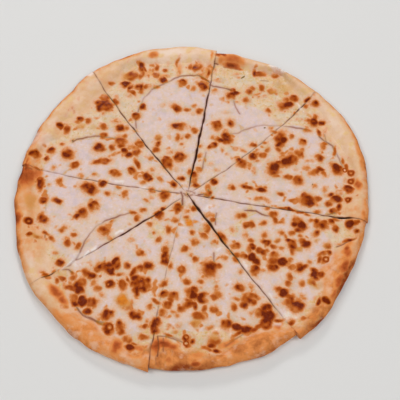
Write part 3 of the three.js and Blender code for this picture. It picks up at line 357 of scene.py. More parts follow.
    (119.3, -57.3, 2.2, 1.6, 0, 0.8), (114, -59, 4, 1.5, 25, 0.7), (111.5, -63.5, 3.2, 1.8, 60, 0.72),
    (115.7, -63.5, 3.6, 2, 60, 0.92), (108.3, -47, 1.8, 1.8, 0, 0.35), (102, -67, 1.6, 1.4, 0, 0.45),
    (85, -65, 2.4, 2.2, 90, 0.5), (93, -72.3, 3.4, 3.2, 0, 0.95), (97.5, -70.8, 2.4, 1.5, 30, 0.75),
    (87, -71.5, 3, 2, -20, 0.65), (84.3, -80.5, 4.5, 2, 78, 0.62), (82.7, -86.5, 2.5, 2.2, 0, 0.72),
    (94, -86, 2.4, 2, 0, 0.6), (105.5, -78.5, 3.4, 3, 0, 0.97), (110.5, -78.3, 2.8, 2.4, 0, 0.95),
    (106.5, -82, 2, 1.5, 0, 0.9), (105, -74.5, 3, 2, -20, 0.75), (103, -84.5, 2.8, 2.8, 0, 0.55),
    (105, -87, 2.5, 1.5, -70, 0.6), (74.5, -91.5, 2.8, 2.2, 0, 0.8), (79, -95, 3.6, 3.6, 0, 0.97),
    (84, -98.8, 3.6, 2.8, -30, 0.85), (89.6, -106.2, 5.2, 4.6, 0, 1.0), (84, -103.5, 4.4, 4.2, 0, 0.86),
    (93.5, -97, 1.8, 1.5, 90, 0.38), (94.4, -99.8, 2, 1.6, 0, 0.42), (113.6, -101.8, 3, 2.6, -20, 0.97),
    (107.6, -102.6, 3.4, 1.6, 60, 0.8), (94, -117.4, 2.4, 1.4, 0, 0.6), (83.8, -120.3, 3, 2, 0, 0.65),
    (134, -47.9, 6, 0.9, 16, 0.6), (139, -46.1, 3, 1, 10, 0.97),
)

# Round slices of cheese that melted into the sheet: x, y, radius
CHEESE_ROUNDS = (
    (-4, 76, 50), (91, 20, 50), (-88, 6, 50), (-82, -20, 50), (-62, -84, 48),
    (6, -78, 50), (78, -62, 46), (4, 4, 50), (48, 58, 34), (-58, 38, 36), (60, -108, 22),
)

# Edges of those rounds that still show as a line, drawn dark: partly a browned edge and partly painted
# shade of the step, with a painted shadow band beside it: strength, then x, y points
ROUND_EDGES = (
    (0.3, (-52, 68), (-53.3, 77), (-50, 90), (-45, 102), (-38.5, 110.5)),
    (0.5, (-38.5, 110.5), (-34, 113), (-25, 118), (-16, 124)),
    (0.45, (-16, 124), (-5, 126.5), (5, 126.5), (13, 122), (19, 115.5)),
    (0.68, (16, 116), (20.5, 113.6), (25, 112.8), (33, 111), (38, 108.9)),
    (0.3, (39.5, 98), (40.5, 92), (42.5, 86), (44.5, 82.5)),
    (0.3, (36.5, 61.5), (43, 62.5), (54, 68), (60, 70), (68, 70.5), (82, 70)),
    (0.4, (82, 70), (90.5, 69), (101, 67), (107, 65)),
    (0.62, (118, 58.5), (122.2, 55), (126.7, 50.7), (131, 47.5), (132, 43.3)),
    (0.32, (133, 41), (135.7, 35), (137.8, 26.7)),
    (0.6, (-110.5, 53), (-106, 55.5), (-102, 56), (-97, 58)),
    (0.35, (-97, 58), (-90, 58.5), (-81, 58), (-74.7, 57), (-67, 57)),
    (0.15, (-131, 11), (-131.2, -4), (-129.8, -18)),
    (0.5, (-109.9, -71), (-104.9, -69.2), (-100, -64.6), (-97, -57.1), (-94, -48.7)),
    (0.4, (-94, -48.7), (-89.2, -40.1), (-82.7, -31.5), (-76.7, -27.6), (-64, -22.5), (-51.5, -19.5)),
    (0.55, (-112, -72.6), (-106, -73), (-102.5, -76)),
    (0.5, (47.5, -17.3), (52, -17), (57, -17.6), (62, -21), (68, -23), (71, -23)),
    (0.6, (-97, -107), (-92, -112), (-86, -116), (-79, -119), (-73, -120.5)),
    (0.35, (19, -58), (19.2, -63), (19, -68)),
    (0.4, (21.3, -20), (21.2, -26), (21.4, -31.5)),
    (0.5, (13, 41), (11, 33), (9, 24)), (0.6, (-9.7, 0.6), (-8.3, -5.4), (-8.7, -11.4), (-12, -16)),
    (0.55, (6, -2), (12, -1.6), (18, -5.2)), (0.5, (14.6, 3), (16, -1), (17.6, -4.5)),
    (0.4, (-7.5, -0.5), (-3.8, -3.6), (0.5, -2.2)), (0.35, (-4.5, 2), (-1, 1.4), (2.5, -0.6)),
    (0.45, (116, -22.5), (121, -21), (127, -20)),
)

# Ridges of white cheese squeezed up beside a cut or fold, drawn white, partly the cheese and partly a
# painted highlight on them: strength, then x, y points
WHITE_RIDGES = (
    (0.9, (99.5, 96.5), (101.5, 93), (102.6, 88.5)), (0.7, (12.5, -16.5), (14.5, -14), (17, -13.5)),
    (0.6, (22, -56), (25, -53.8)), (0.8, (44.6, -66.5), (46.6, -70), (48.3, -73.5)),
    (0.9, (-66, -39.6), (-63.2, -37.8), (-60.5, -37)), (1.0, (-93.6, -61.2), (-89, -56.6), (-84.1, -52.9)),
    (1.0, (-113.2, -72.4), (-108, -69), (-104.1, -66.2)), (0.8, (18, -129), (22, -126.4), (28, -126.6)),
    (0.7, (28, -126.6), (32.5, -129), (33.5, -132)), (0.8, (68, -122.3), (74, -122.4)),
    (0.6, (-46, 5), (-41, 4.4)), (0.8, (85.5, -118.2), (88.5, -115.4)),
    (0.7, (-68.5, 12.2), (-62, 11.4)), (0.6, (128.8, -26.4), (134, -26.6)), (0.6, (-83, 71), (-86, 75.5)),
    (0.5, (-12, 58), (-11.5, 62)), (0.6, (66, -95.5), (69, -99.5)),
)

# Patches where fat has coloured the cheese: x, y, half length, half width, turn, amount
OILY_PATCHES = (
    (87, 112, 10, 8, 0, 0.5), (76.4, 108.5, 3, 2, 0, 0.8), (-92, 68, 4, 3, 0, 0.5),
    (-1.5, -30.3, 6.4, 5.4, 0, 1.0), (4.2, -29.2, 4.6, 3.6, 0, 0.9),
    (-58.3, -101.4, 6.5, 7, 0, 1.0), (8.5, -36.5, 2.5, 2.5, 0, 0.5), (-13, -128, 3, 2.4, 0, 0.5),
    (101.5, -85, 3, 3, 0, 0.8), (94, -55, 4.5, 3, 0, 0.6), (108, -47, 2.5, 2.5, 0, 0.45),
    (-13.3, -40.5, 1.6, 2.6, 0, 0.4), (3, -122, 4.5, 3, 0, 0.55), (19, -134, 4.5, 5, 0, 0.5),
    (-105, 70, 4.5, 5, 0, 0.6), (-84, 17, 2.6, 2.2, 0, 0.4), (86, 112, 5, 7, 30, 0.4),
    (68.5, 47.5, 4, 3.5, 0, 0.3), (-5.3, -0.9, 2, 1.8, 0, 0.6), (-4.5, -12, 2.4, 4.5, 0, 0.35),
    (-31.5, 56.8, 2.6, 2.4, 0, 0.5), (118.7, -51, 3, 3, 0, 0.5), (-143, -10, 9, 6, 80, 0.5),
    (45, -23, 7, 4, 0, 0.3), (74, -47, 2.4, 2, 0, 0.4), (57, -112, 3, 3.2, 0, 0.5),
    (-112, -76, 5, 3, 0, 0.35), (108, 108, 8, 5, -40, 0.15), (107, -89, 6, 4, 0, 0.62),
    (35, 130, 9, 5, 0, 0.3),
    (-60, 128, 9, 6, 30, 0.35), (126, 57, 5, 4, 0, 0.3), (-136.5, -42, 5, 3, 0, 0.5),
)

# Toasted patches of the rim, and one painted shadow of the left cut where it meets the rim: direction,
# distance, half widths around and outwards, amount
RIM_TOAST_AND_SHADE = (
    (73.5, 151.2, 14, 6.5, 0.5), (73, 145, 9.5, 3, 0.88), (69.6, 144.8, 4, 1.8, 0.6),
    (79.1, 152.6, 4, 3.4, 0.8), (77.3, 154.2, 6, 2.8, 0.85), (77.6, 148, 4, 5, 0.34),
    (114, 139.5, 7, 6, 0.4), (102.7, 153.8, 5, 3.8, 0.44), (173.5, 147.5, 14, 9, 0.72),
    # painted shadow: (169.1, 149.6) darkens the rim beside the left cut, where shade falls
    (172.4, 152.4, 10, 5, 0.84), (171.9, 153, 8, 2.8, 1.0), (169.1, 149.6, 2.6, 3.4, 0.9),
    (170, 147.6, 6, 4, 0.8), (167.6, 149.8, 7, 2.4, 0.5),
    (171.5, 140, 9, 7, 0.5), (189, 152.6, 9, 5, 0.84), (219.6, 145.3, 9.5, 5, 0.66),
    (223.4, 145, 6, 3.6, 0.62), (247.7, 151.4, 5, 7.5, 0.72), (254.5, 147, 9, 3.4, 0.46),
    (262.2, 139.6, 9, 5.5, 0.8), (259.8, 143, 4.5, 8, 0.78), (265, 140.5, 6, 4.5, 0.6),
    (272.5, 156.5, 6, 3, 0.75),
    (301.9, 144.5, 5, 3, 0.5), (273.3, 148, 9, 5.5, 0.34), (284, 142, 12, 4, 0.42),
    (264.6, 153.5, 5, 3.4, 0.45), (261.8, 157, 4, 3, 0.4),
    (272, 153.5, 2.6, 4, 0.45), (337.5, 150, 6, 4.5, 0.6), (333, 152.5, 9, 4.6, 0.72),
    (327.5, 154.5, 10, 4.4, 0.66), (323, 157, 8, 2.8, 0.5),
    (352.5, 157.5, 4, 2.4, 0.45), (3, 153.8, 6, 3.8, 0.6), (341, 150, 4, 2, 0.3),
    (296.3, 147, 3, 2.5, 0.35), (183, 140.5, 9, 6, 0.2), (313, 158, 10, 4, 0.35),
    (107, 136, 12, 5, 0.22), (94, 136, 4, 7, 0.25), (81.6, 134, 5, 7, 0.3), (81.4, 151, 1.6, 6, 0.34),
    (228, 156, 12, 3, 0.3), (286, 156, 18, 4, 0.15), (339.1, 148.9, 3, 3, 0.7), (12, 163, 16, 3, 0.35),
    (318, 146, 3, 2, 0.2), (101, 128, 8, 3, 0.3), (33, 141, 12, 3, 0.3),
)

# Creases and seams of the rim, drawn dark as painted shade in the grooves with some browning: strength,
# then points by direction and distance
RIM_CREASES = (
    (0.8, (79.5, 143.6), (78.2, 143.3)), (0.5, (76, 142.4), (72.7, 142.6), (69.5, 143)),
    (0.8, (343.2, 153), (341.5, 148), (340, 144.5), (338.6, 140)),
    (0.8, (240, 140.2), (237.5, 140.6), (235, 142.2), (232.5, 142.6), (229.5, 141.2)),
    (0.55, (300, 132), (296, 138.6), (292, 139)), (0.5, (290, 138), (286, 140.6), (283, 143)),
    (0.9, (259.6, 133.6), (260.4, 142), (261, 150.9)), (0.6, (261.8, 134.5), (262.4, 146.2)),
    (0.7, (259.4, 133.5), (262.5, 132.2), (266, 134), (268.6, 136.6)),
    (0.35, (260.6, 150), (260.9, 157)),
    (0.45, (262, 130.6), (265, 132.2), (268, 134.2)), (0.7, (170.2, 144), (169.6, 150), (169.2, 155)),
    (0.5, (26, 141.2), (22.5, 139.8), (20, 142.4), (16, 141.4)), (0.4, (60, 141), (57.5, 143.5)),
    (0.6, (198.6, 131.5), (196.5, 130.4)),
    (0.4, (41.8, 162), (41.4, 156), (41.2, 151)),
)

# Pale, floury or torn spots of the rim, some of them partly painted highlight on the tops of bubbles:
# direction, distance, half widths around and out, amount
RIM_PALE = (
    (58.4, 159.6, 6.5, 4, 1.0), (55.6, 161, 4, 3, 0.9), (80.5, 160, 2.2, 1.8, 0.8),
    (126.4, 159.6, 4, 3, 0.85), (157.8, 153, 8, 5, 0.35), (96, 155, 14, 5, 0.3),
    (150, 146, 8, 4, 0.2), (27, 155, 12, 5, 0.2), (205, 150, 10, 5, 0.25), (157.3, 144, 8, 6, 0.4),
    (128, 147, 9, 6, 0.2),
    (306.5, 142, 6, 4, 0.7), (308.5, 146, 4, 3, 0.55), (214, 118, 5, 3, 0.45), (211.8, 112, 4, 4, 0.4),
)

# Blisters that have burst, with a dark ring round a light middle: x, y, radius
BURST_BLISTERS = (
    (144.6, 20.5, 3.0), (143.9, 11.8, 2.8), (139.7, -6.8, 2.5), (-143.9, -27.5, 3.4),
    (116.2, -64.1, 2.8),
    (-4.5, -133.3, 2.4), (-4.5, -138.4, 2.4), (-68.7, -124.5, 3.4), (-70.8, -87.1, 2.2),
    (139.2, 23.6, 2.2), (-78.5, -79, 1.0), (-42.5, -82.5, 1.1), (63.5, -110.5, 1.0),
)

# How golden the rim is, and how brown its outer edge, every 15 degrees from +X. Both hold painted light
# besides baking: the rim is paler at some directions where its inner slope falls in shade, and the outer
# edge is darker with painted shade.
RIM_HEAT_AND_LIGHT = (0.30, 0.26, 0.22, 0.20, 0.26, 0.36, 0.10, 0.18, 0.28, 0.32, 0.34, 0.54,
            0.54, 0.46, 0.22, 0.50, 0.66, 0.74, 0.74, 0.68, 0.68, 0.68, 0.64, 0.40, 0.30)
EDGE_HEAT_AND_SHADE = (0.72, 0.68, 0.66, 0.46, 0.46, 0.46, 0.42, 0.66, 0.80, 0.84, 0.92, 0.82,
             0.88, 0.88, 0.46, 0.66, 0.72, 0.74, 0.97, 0.72, 0.70, 0.88, 1.06, 0.62, 0.68)

# Dried herb flecks: x, y, length, width, turn
HERB_FLECKS = (
    (49, 124.3, 5.5, 1.6, 38), (67.9, 67.6, 2.2, 1.4, 10), (109.1, 8.5, 1.6, 1.0, 70),
    (-110.6, 54.2, 1.7, 1.1, 20), (-113.8, 89.4, 1.8, 1.2, 75),
)

# ---- Fineness ---------------------------------------------------------------------
COLUMNS = 200  # around a slice
CHEESE_ROWS = 210
LOW_ROWS = 14
EDGE_ROWS = 30  # rows at the sheet's edge under which its underside is finer
DOUGH_FLOOR_ROWS = 10
DOUGH_RIM_ROWS = 52
DOUGH_EDGE_ROWS = 16
DOUGH_LOW_ROWS = 5  # of the underside, under the floor and again under the rim
CROWDING = 0.3  # how much closer the columns stand at a slice's two sides
PLAN_HALF = 172.0
PLAN_STEP = 0.4
SHARP_ANGLE = 58.0
FLECK_AROUND, FLECK_ALONG = 8, 7

# ---- How the plan is drawn: millimetres, and shares of an oval or a line ---------------
BLISTER_SCALE, BLISTER_MARGIN = 1.02, 0.3  # a blister's half sizes are scaled, then widened
BLISTER_REACH = 5.0
SKIRT_TONE, SKIRT_WIDTH = 0.43, 2.0
DOME_LEVEL, DOME_GROWTH = 0.28, 0.2  # a dome's height, and its growth with the half width
DOME_SINK = 0.62  # how far the middle of the darkest blisters has sunk
RING_TONE, RING_PLACE, RING_WIDTH = 1.02, 0.82, 0.27  # of a burst blister's dark ring
BURST_FADE, BURST_DENT = 0.62, 0.5  # of its middle
STAIN_SPREAD = 4.5  # of the fat that has run out round the brown places
SPECK_TONE_MAX = 0.42
ROUND_LINE_MAX = 0.75
LINE_WANDER = 0.45  # how far a line bends with the plan's wander fields

# ---- How the surfaces run: millimetres ------------------------------------------------
HUB_CLOSED, HUB_REACH = 0.82, 4.0  # the share of a cut that is closed at the hub, and how far
CHEESE_RUN = 5.0  # how far the sheet has run up the rim past its edge
BARE_RIM = 7.0  # of the rim that the sheet never reaches
FILM_LIFT, FILM_THICKNESS = 0.1, 0.45
FILM_GROWTH = 5.0  # from the sheet's outer edge inwards to the film's whole thickness
FILM_JOIN = 0.9  # how softly the film goes over into the pool
LIP_PLACE, LIP_WIDTH = 1.3, 0.9  # of the raised lip beside a cut, from the cut
LIP_NOTCH, LIP_NOTCH_WIDTH = 0.55, 0.45  # of the notch between the lip and the cut
# how far the dark lips beside a cut reach: partly browned cheese, partly painted shade of the gap
LIP_STAIN_AND_SHADE_WIDTH = 0.42
CLOSING_WIDTH = 1.4
SHEET_FADE = 4.0  # from the sheet's outer edge inwards to its whole relief
SHEET_SINK = 0.35  # of the outer edge itself
SIDE_LINE_DEPTH, SIDE_LINE_CLOSING = 0.36, 0.75  # of the line down each side of the sheet
SIDE_CRUMB = 0.7  # how much a cut side looks like crumb
UNDER_RIM_DEPTH = 0.6  # how far the sheet's underside lies in the dough past its seat
LEAST_THICKNESS = 0.3
FLOOR_CLEARANCE = 0.03  # between the sheet and the dough's flat floor
FLOOR_MARGIN = 3.0  # between the dough's flat floor and the cheese's edge
DOUGH_SHUT = 0.97  # the share of the cut's width that the dough under the cheese closes
# painted shade of the dough's floor under the cheese, which shows only at the bottom of the cuts
DOUGH_SHADE = 0.9  # how dark the dough under the cheese is drawn, as it shows only in the cuts
# The edge curve's points before and after the profile, which only steer it
EDGE_BEFORE, EDGE_AFTER = (4.6, 0.93), (4.8, 0.0)

# How much of each field of the plan a surface takes on, in millimetres where the field is 1
EDGE_SWING = {"lump": 0.35, "swell": 0.4}
RIM_RELIEF = {"swell": 0.32, "lump": 0.2, "grain": 0.05, "toast": 0.5, "line": -0.55}
CHEESE_RELIEF = {"blister": 1.0, "ridge": 0.5, "line": -0.16, "lump": 0.13, "grain": 0.06}
ROUND_RELIEF, ROUND_LEVEL, ROUNDS_MAX = 0.2, -0.3, 3.0  # of each round, of none, and how many count

# How fat the cheese looks: between the rounds, less inside one, more near the rim
FAT_LEVEL, FAT_IN_ROUNDS, FAT_AT_RIM, FAT_DRIFT, FAT_BY_STAINS = 0.62, -0.56, 0.2, 0.08, 1.0

# Herb flecks: how they bow, rise at their ends, lie on the cheese and how thick they are
FLECK_BOW, FLECK_RISE, FLECK_LIFT, FLECK_THICKNESS = 0.15, 0.1, 0.12, 0.22
FLECK_TIPS = (0.03, 0.97)  # where along it a fleck ends, as its width is nothing at 0 and 1
TOP_PREFERENCE = 0.02  # how much a higher vertex counts as nearer when a fleck is laid down

# ---- Uneven tints ------------------------------------------------------------------
# Each: size of its patches in mm, noise detail, the two noise values between which its
# amount changes, the amount at each of them, its colour, and how it is laid over
DOUGH_TINTS = (
    (9.5, 3, 0.52, 0.66, 0.0, 0.42, "dough_pale", "MIX"),
    (8.0, 3, 0.5, 0.64, 0.0, 0.75, "dough_yellow", "DARKEN"),
    (1.3, 2, 0.66, 0.76, 0.0, 0.3, "dough_orange", "DARKEN"),
)
FAT_CHEESE_TINTS = (
    (6.0, 3, 0.46, 0.58, 0.0, 0.85, "cheese_milky", "MIX"),
    (3.2, 4, 0.55, 0.66, 0.0, 0.7, "cheese_gold", "MIX"),
)
CHEESE_TINTS = (
    (9.0, 3, 0.5, 0.66, 0.0, 0.75, "cheese_shade", "DARKEN"),
    (10.0, 3, 0.36, 0.48, 0.55, 0.0, "cheese_cream", "DARKEN"),
    (2.6, 4, 0.5, 0.7, 0.0, 0.45, "cheese_shade", "DARKEN"),
    # painted glints: small white specks laid lighter over the cheese
    (2.2, 4, 0.26, 0.38, 0.45, 0.0, "ridge", "LIGHTEN"),
)
DOUGH_GLOSS, CHEESE_GLOSS = 0.03, 0.08

# ---- Stage: millimetres, degrees ------------------------------------------------------
CAMERA_PLACE = (7.342, -331.171, 678.049)
CAMERA_ELEVATION = 64.23
CAMERA_ROLL = -0.12
CAMERA_LENS = 74.97
SENSOR_WIDTH = 36.0
FLOOR_HALF = 2500.0
FLOOR_DROP = 0.2
SOFT_PLACES = {"left": (-1100.0, 0.0, 1650.0), "right": (1100.0, 0.0, 1650.0)}
SOFT_SIZE = 1000.0
FRONT_PLACE = (0.0, -1500.0, 1300.0)
BACK_PLACE = (-200.0, 1700.0, 900.0)
BACK_SIZE = 320.0


# ---- Number helpers -----------------------------------------------------------------
def smoothstep(low, high, value):
    """0 below low, 1 above high, and 3t^2 - 2t^3 of the share t between them."""
    t = np.clip((value - low) / (high - low), 0.0, 1.0)
    return t * t * (3.0 - 2.0 * t)


def along_list(values, share):
    """The value at a share of an evenly spaced list, eased by smoothstep between neighbours."""
    values = np.asarray(values, float)
    spot = np.clip(share, 0.0, 1.0) * (len(values) - 1)
    first = np.minimum(np.floor(spot).astype(int), len(values) - 2)
    ease = smoothstep(0.0, 1.0, spot - first)
    return values[first] * (1 - ease) + values[first + 1] * ease


def mix(a, b, share):
    """a at share 0, b at share 1, and straight in between."""
    return a + (b - a) * share


def bell(value, width):
    """exp(-(value / width)^2)."""
    return np.exp(-((value / width) ** 2))


def plan_point(direction, distance):
    """Plan point at a direction in radians and a distance from the hub."""
    return HUB_X + distance * np.cos(direction), HUB_Y + distance * np.sin(direction)


def polar(at, distance):
    """Plan point at a direction in degrees and a distance from the hub."""
    return plan_point(np.radians(at), distance)


# ---- The plan: a fine square grid over the whole pizza that holds what the oven did ----
AXIS = np.arange(-PLAN_HALF, PLAN_HALF + PLAN_STEP / 2, PLAN_STEP)
PLAN_X, PLAN_Y = np.meshgrid(AXIS, AXIS)


def spline_noise(seed, wavelength):
    """Smooth noise of unit deviation: a random lattice one wavelength apart, blended along
    both axes with the four cubic B-spline weights."""
    spot = (AXIS - AXIS[0]) / wavelength
    first = np.floor(spot).astype(int)
    t = spot - first
    weights = np.stack(
        [(1 - t) ** 3, 3 * t**3 - 6 * t**2 + 4, -3 * t**3 + 3 * t**2 + 3 * t + 1, t**3], 1
    )
    count = first[-1] + 4
    lattice = np.random.default_rng(seed).uniform(-1, 1, (count, count))
    blend = np.zeros((len(AXIS), count))
    blend[np.arange(len(AXIS))[:, None], first[:, None] + np.arange(4)] = weights / 6
    noise = blend @ lattice @ blend.T
    return noise / noise.std()


def blurred(field, spread):
    """The field spread out along both axes by a bell curve of a width in millimetres."""
    blend = bell(AXIS[:, None] - AXIS[None, :], spread)
    blend /= blend.sum(1, keepdims=True)
    return blend @ field @ blend.T


def window(x, y, reach):
    """Rows and columns of the plan within a reach of a point."""
    columns = np.clip(((x + PLAN_HALF + np.array([-reach, reach])) / PLAN_STEP), 0, len(AXIS))
    rows = np.clip(((y + PLAN_HALF + np.array([-reach, reach])) / PLAN_STEP), 0, len(AXIS))
    return slice(int(rows[0]), int(rows[1]) + 1), slice(int(columns[0]), int(columns[1]) + 1)


def sample(field, x, y):
    """Value of a plan field at points, linear between the grid's four nearest nodes."""
    last = len(AXIS) - 1.001
    column = np.clip((x + PLAN_HALF) / PLAN_STEP, 0, last)
    row = np.clip((y + PLAN_HALF) / PLAN_STEP, 0, last)
    left, below = np.floor(column).astype(int), np.floor(row).astype(int)
    across, up = column - left, row - below
    low = field[below, left] * (1 - across) + field[below, left + 1] * across
    high = field[below + 1, left] * (1 - across) + field[below + 1, left + 1] * across
    return low * (1 - up) + high * up


def add_relief(height, plan, amounts, x, y):
    """A height plus, for each listed field of the plan, its value at the points times its
    amount."""
    for key, amount in amounts.items():
        height = height + amount * sample(plan[key], x, y)
    return height


def oval(x, y, length, width, turn, reach, warp):
    """A window of the plan and, in it, the share of the way from an oval's middle to its
    outline; warp bends the outline by that many of the plan's wander fields."""
    rows, columns = window(x, y, max(length, width) + reach)
    dx = PLAN_X[rows, columns] - x + warp * WANDER_X[rows, columns]
    dy = PLAN_Y[rows, columns] - y + warp * WANDER_Y[rows, columns]
    c, s = math.cos(math.radians(turn)), math.sin(math.radians(turn))
    share = np.hypot((dx * c + dy * s) / length, (-dx * s + dy * c) / width)
    return rows, columns, share


def line_distance(points, reach):
    """A window of the plan and, in it, the distance to a line through the points: the
    least over its segments of the distance to the nearest point of the segment."""
    points = np.asarray(points, float)
    low, high = points.min(0), points.max(0)
    middle = (low + high) / 2
    rows, columns = window(middle[0], middle[1], (high - low).max() / 2 + reach)
    x = PLAN_X[rows, columns] + LINE_WANDER * WANDER_X[rows, columns]
    y = PLAN_Y[rows, columns] + LINE_WANDER * WANDER_Y[rows, columns]
    nearest = np.full(x.shape, np.inf)
    for (ax, ay), (bx, by) in zip(points[:-1], points[1:]):
        dx, dy = bx - ax, by - ay
        t = np.clip(((x - ax) * dx + (y - ay) * dy) / (dx * dx + dy * dy), 0, 1)
        nearest = np.minimum(nearest, np.hypot(x - ax - t * dx, y - ay - t * dy))
    return rows, columns, nearest


WANDER_X = 0.6 * spline_noise(11, 3.6) + 0.18 * spline_noise(12, 1.6)
WANDER_Y = 0.6 * spline_noise(13, 3.6) + 0.18 * spline_noise(14, 1.6)


def raise_to(field, rows, columns, value):
    """Lifts a window of a field to a value where that is higher."""
    field[rows, columns] = np.maximum(field[rows, columns], value)


def draw_blisters(plan, blister_height, mottle, clots):
    """Browning and domes of the blisters. The browning is the greater of two: a core, whole
    inside the oval and gone just outside it, and a skirt that fades outwards as
    exp(-distance / width); noise mottles both. A dome's height grows with the blister's size
    and the root of its browning and follows the root of 1.08 less the share squared, and the
    darkest ones have sunk in the middle by a bell curve."""
    for x, y, length, width, turn, tone in BLISTERS:
        length = BLISTER_SCALE * length + BLISTER_MARGIN
        width = BLISTER_SCALE * width + BLISTER_MARGIN
        size = math.sqrt(length * width)
        warp = min(0.28 + 0.16 * size, 1.0)
        rows, columns, share = oval(x, y, length, width, turn, BLISTER_REACH, warp)
        outside = (share - 1) * min(size, 3.2)
        tone = tone + 0.1 * float(smoothstep(0.92, 1.0, tone))
        spots, lumps = mottle[rows, columns], clots[rows, columns]
        core = tone * (1 - 0.12 * smoothstep(-2.2, -0.3, outside)) * (1 - smoothstep(-1.1, 1.0, outside))
        core *= 1 + 0.15 * np.clip(spots, -2, 2) + 0.14 * np.clip(lumps, -2, 1.5)
        skirt = SKIRT_TONE * math.sqrt(tone) * np.exp(-np.clip(outside, 0, None) / SKIRT_WIDTH)
        skirt *= 1 + 0.15 * np.clip(spots, -1.5, 2)
        raise_to(plan["brown"], rows, columns, np.maximum(core, skirt))
        swell = blister_height * (DOME_LEVEL + DOME_GROWTH * min(width, length)) * math.sqrt(tone)
        dome = swell * np.sqrt(np.clip(1.08 - share**2, 0, None))
        sunk = smoothstep(0.72, 0.98, tone) * DOME_SINK * bell(share, 0.62)
        raise_to(plan["blister"], rows, columns, dome * (1 - sunk))


def draw_burst_blisters(plan):
    """Burst blisters: a dark ring, a bell curve about a share of the radius, round a middle
    that is lighter and dented."""
    for x, y, radius in BURST_BLISTERS:
        rows, columns, share = oval(x, y, radius, radius, turn=0, reach=3.0, warp=0.2)
        raise_to(plan["brown"], rows, columns, RING_TONE * bell(share - RING_PLACE, RING_WIDTH))
        plan["brown"][rows, columns] *= 1 - BURST_FADE * (1 - smoothstep(0.1, 0.6, share))
        plan["blister"][rows, columns] -= BURST_DENT * bell(share, 0.5)


def draw_ovals(field, ovals, reach, warp, whole, gone):
    """Raises a field to each oval's amount: whole up to one share of the way from its middle
    to its outline and gone at another."""
    for x, y, length, width, turn, amount in ovals:
        rows, columns, share = oval(x, y, length, width, turn, reach, warp)
        raise_to(field, rows, columns, amount * (1 - smoothstep(whole, gone, share)))


def rim_ovals(ovals):
    """Ovals listed by direction and distance, as plan ovals that lie along the rim."""
    return [(*polar(at, distance), around, outward, at + 90, amount)
            for at, distance, around, outward, amount in ovals]


def draw_lines(field, lines, reach, width):
    """Raises a field along lines to each line's strength times a bell curve across it."""
    for strength, *points in lines:
        rows, columns, away = line_distance(points, reach)
        raise_to(field, rows, columns, strength * bell(away, width))


def draw_round_edges(field, patchy):
    """Edges of the melted rounds, partly a browned edge and partly painted shade: a narrow bell
    curve on a wide and faint one that is a painted shadow band, with a strength that noise
    varies along the line."""
    for strength, *points in ROUND_EDGES:
        rows, columns, away = line_distance(points, 3.5)
        fade = np.clip(1.25 + 0.35 * patchy[rows, columns], 0.5, 1.7)
        profile = 0.85 * bell(away, 0.7) + 0.22 * bell(away, 2.0)
        raise_to(field, rows, columns, np.minimum(strength * fade, ROUND_LINE_MAX) * profile)


@lru_cache(maxsize=1)
def make_plan(blister_height):
    """The plan's fields by name: how brown, blistered, oily, creased, ridged and toasted each
    place is, where the creases and lines carry painted shade, the ridges and pale spots painted
    highlights and the toast one painted shadow, how many rounds of cheese lie there and whether
    any does, a stain round the brown places, and four noises named by their size: swell, lump,
    grain and drift."""
    names = ("brown", "blister", "oil", "line", "ridge", "toast", "rounds", "cover")
    plan = {name: np.zeros_like(PLAN_X) for name in names}
    mottle = spline_noise(21, 1.9)
    patchy = spline_noise(23, 7.0)
    clots = spline_noise(24, 3.4)
    draw_blisters(plan, blister_height, mottle, clots)
    draw_burst_blisters(plan)
    plan["stain"] = blurred(plan["brown"], STAIN_SPREAD)
    specks = smoothstep(0.9, 2.6, spline_noise(22, 2.5)) * (0.2 + 1.5 * plan["stain"])
    plan["brown"] = np.maximum(plan["brown"], np.clip(specks, 0, SPECK_TONE_MAX))
    draw_ovals(plan["oil"], OILY_PATCHES, reach=5.0, warp=1.6, whole=0.45, gone=1.25)
    draw_round_edges(plan["line"], patchy)
    draw_lines(plan["ridge"], WHITE_RIDGES, reach=3.5, width=1.25)
    draw_ovals(plan["toast"], rim_ovals(RIM_TOAST_AND_SHADE), reach=6.0, warp=1.0, whole=0.15, gone=1.4)
    draw_ovals(plan["ridge"], rim_ovals(RIM_PALE), reach=5.0, warp=0.8, whole=0.5, gone=1.2)
    creases = [(strength, *(polar(*point) for point in points)) for strength, *points in RIM_CREASES]
    draw_lines(plan["line"], creases, reach=3.0, width=0.6)
    swing = 1.3 * spline_noise(31, 16.0) + 0.4 * spline_noise(32, 5.0)
    for x, y, radius in CHEESE_ROUNDS:
        inside = 1 - smoothstep(-0.9, 0.9, np.hypot(PLAN_X - x, PLAN_Y - y) - radius + swing)
        plan["rounds"] += inside
        plan["cover"] = np.maximum(plan["cover"], inside)
    plan["swell"] = spline_noise(41, 18.0)
    plan["lump"] = spline_noise(42, 6.0)
    plan["grain"] = spline_noise(43, 2.0)
    plan["drift"] = spline_noise(44, 30.0)
    return plan


# ---- The slices' own shape ----------------------------------------------------------
def cuts_of(name):
    """The first and the second cut of a slice."""
    return CUTS[SLICES[name].first_cut], CUTS[SLICES[name].second_cut]


def cut_direction(cut, distance):
    """Direction in radians of a cut's middle line: its end direction plus its bow, plus a
    small wander of two sines that the two neighbours share."""
    turn = math.radians(cut.direction) + 4 * cut.bow * (1 - distance / MEAN_RADIUS) / MEAN_RADIUS
    phase = cut.direction
    wander = 0.24 * np.sin(distance / 6.1 + phase) + 0.16 * np.sin(distance / 2.3 + 3 * phase)
    return turn + wander * smoothstep(4.0, 14.0, distance) / distance


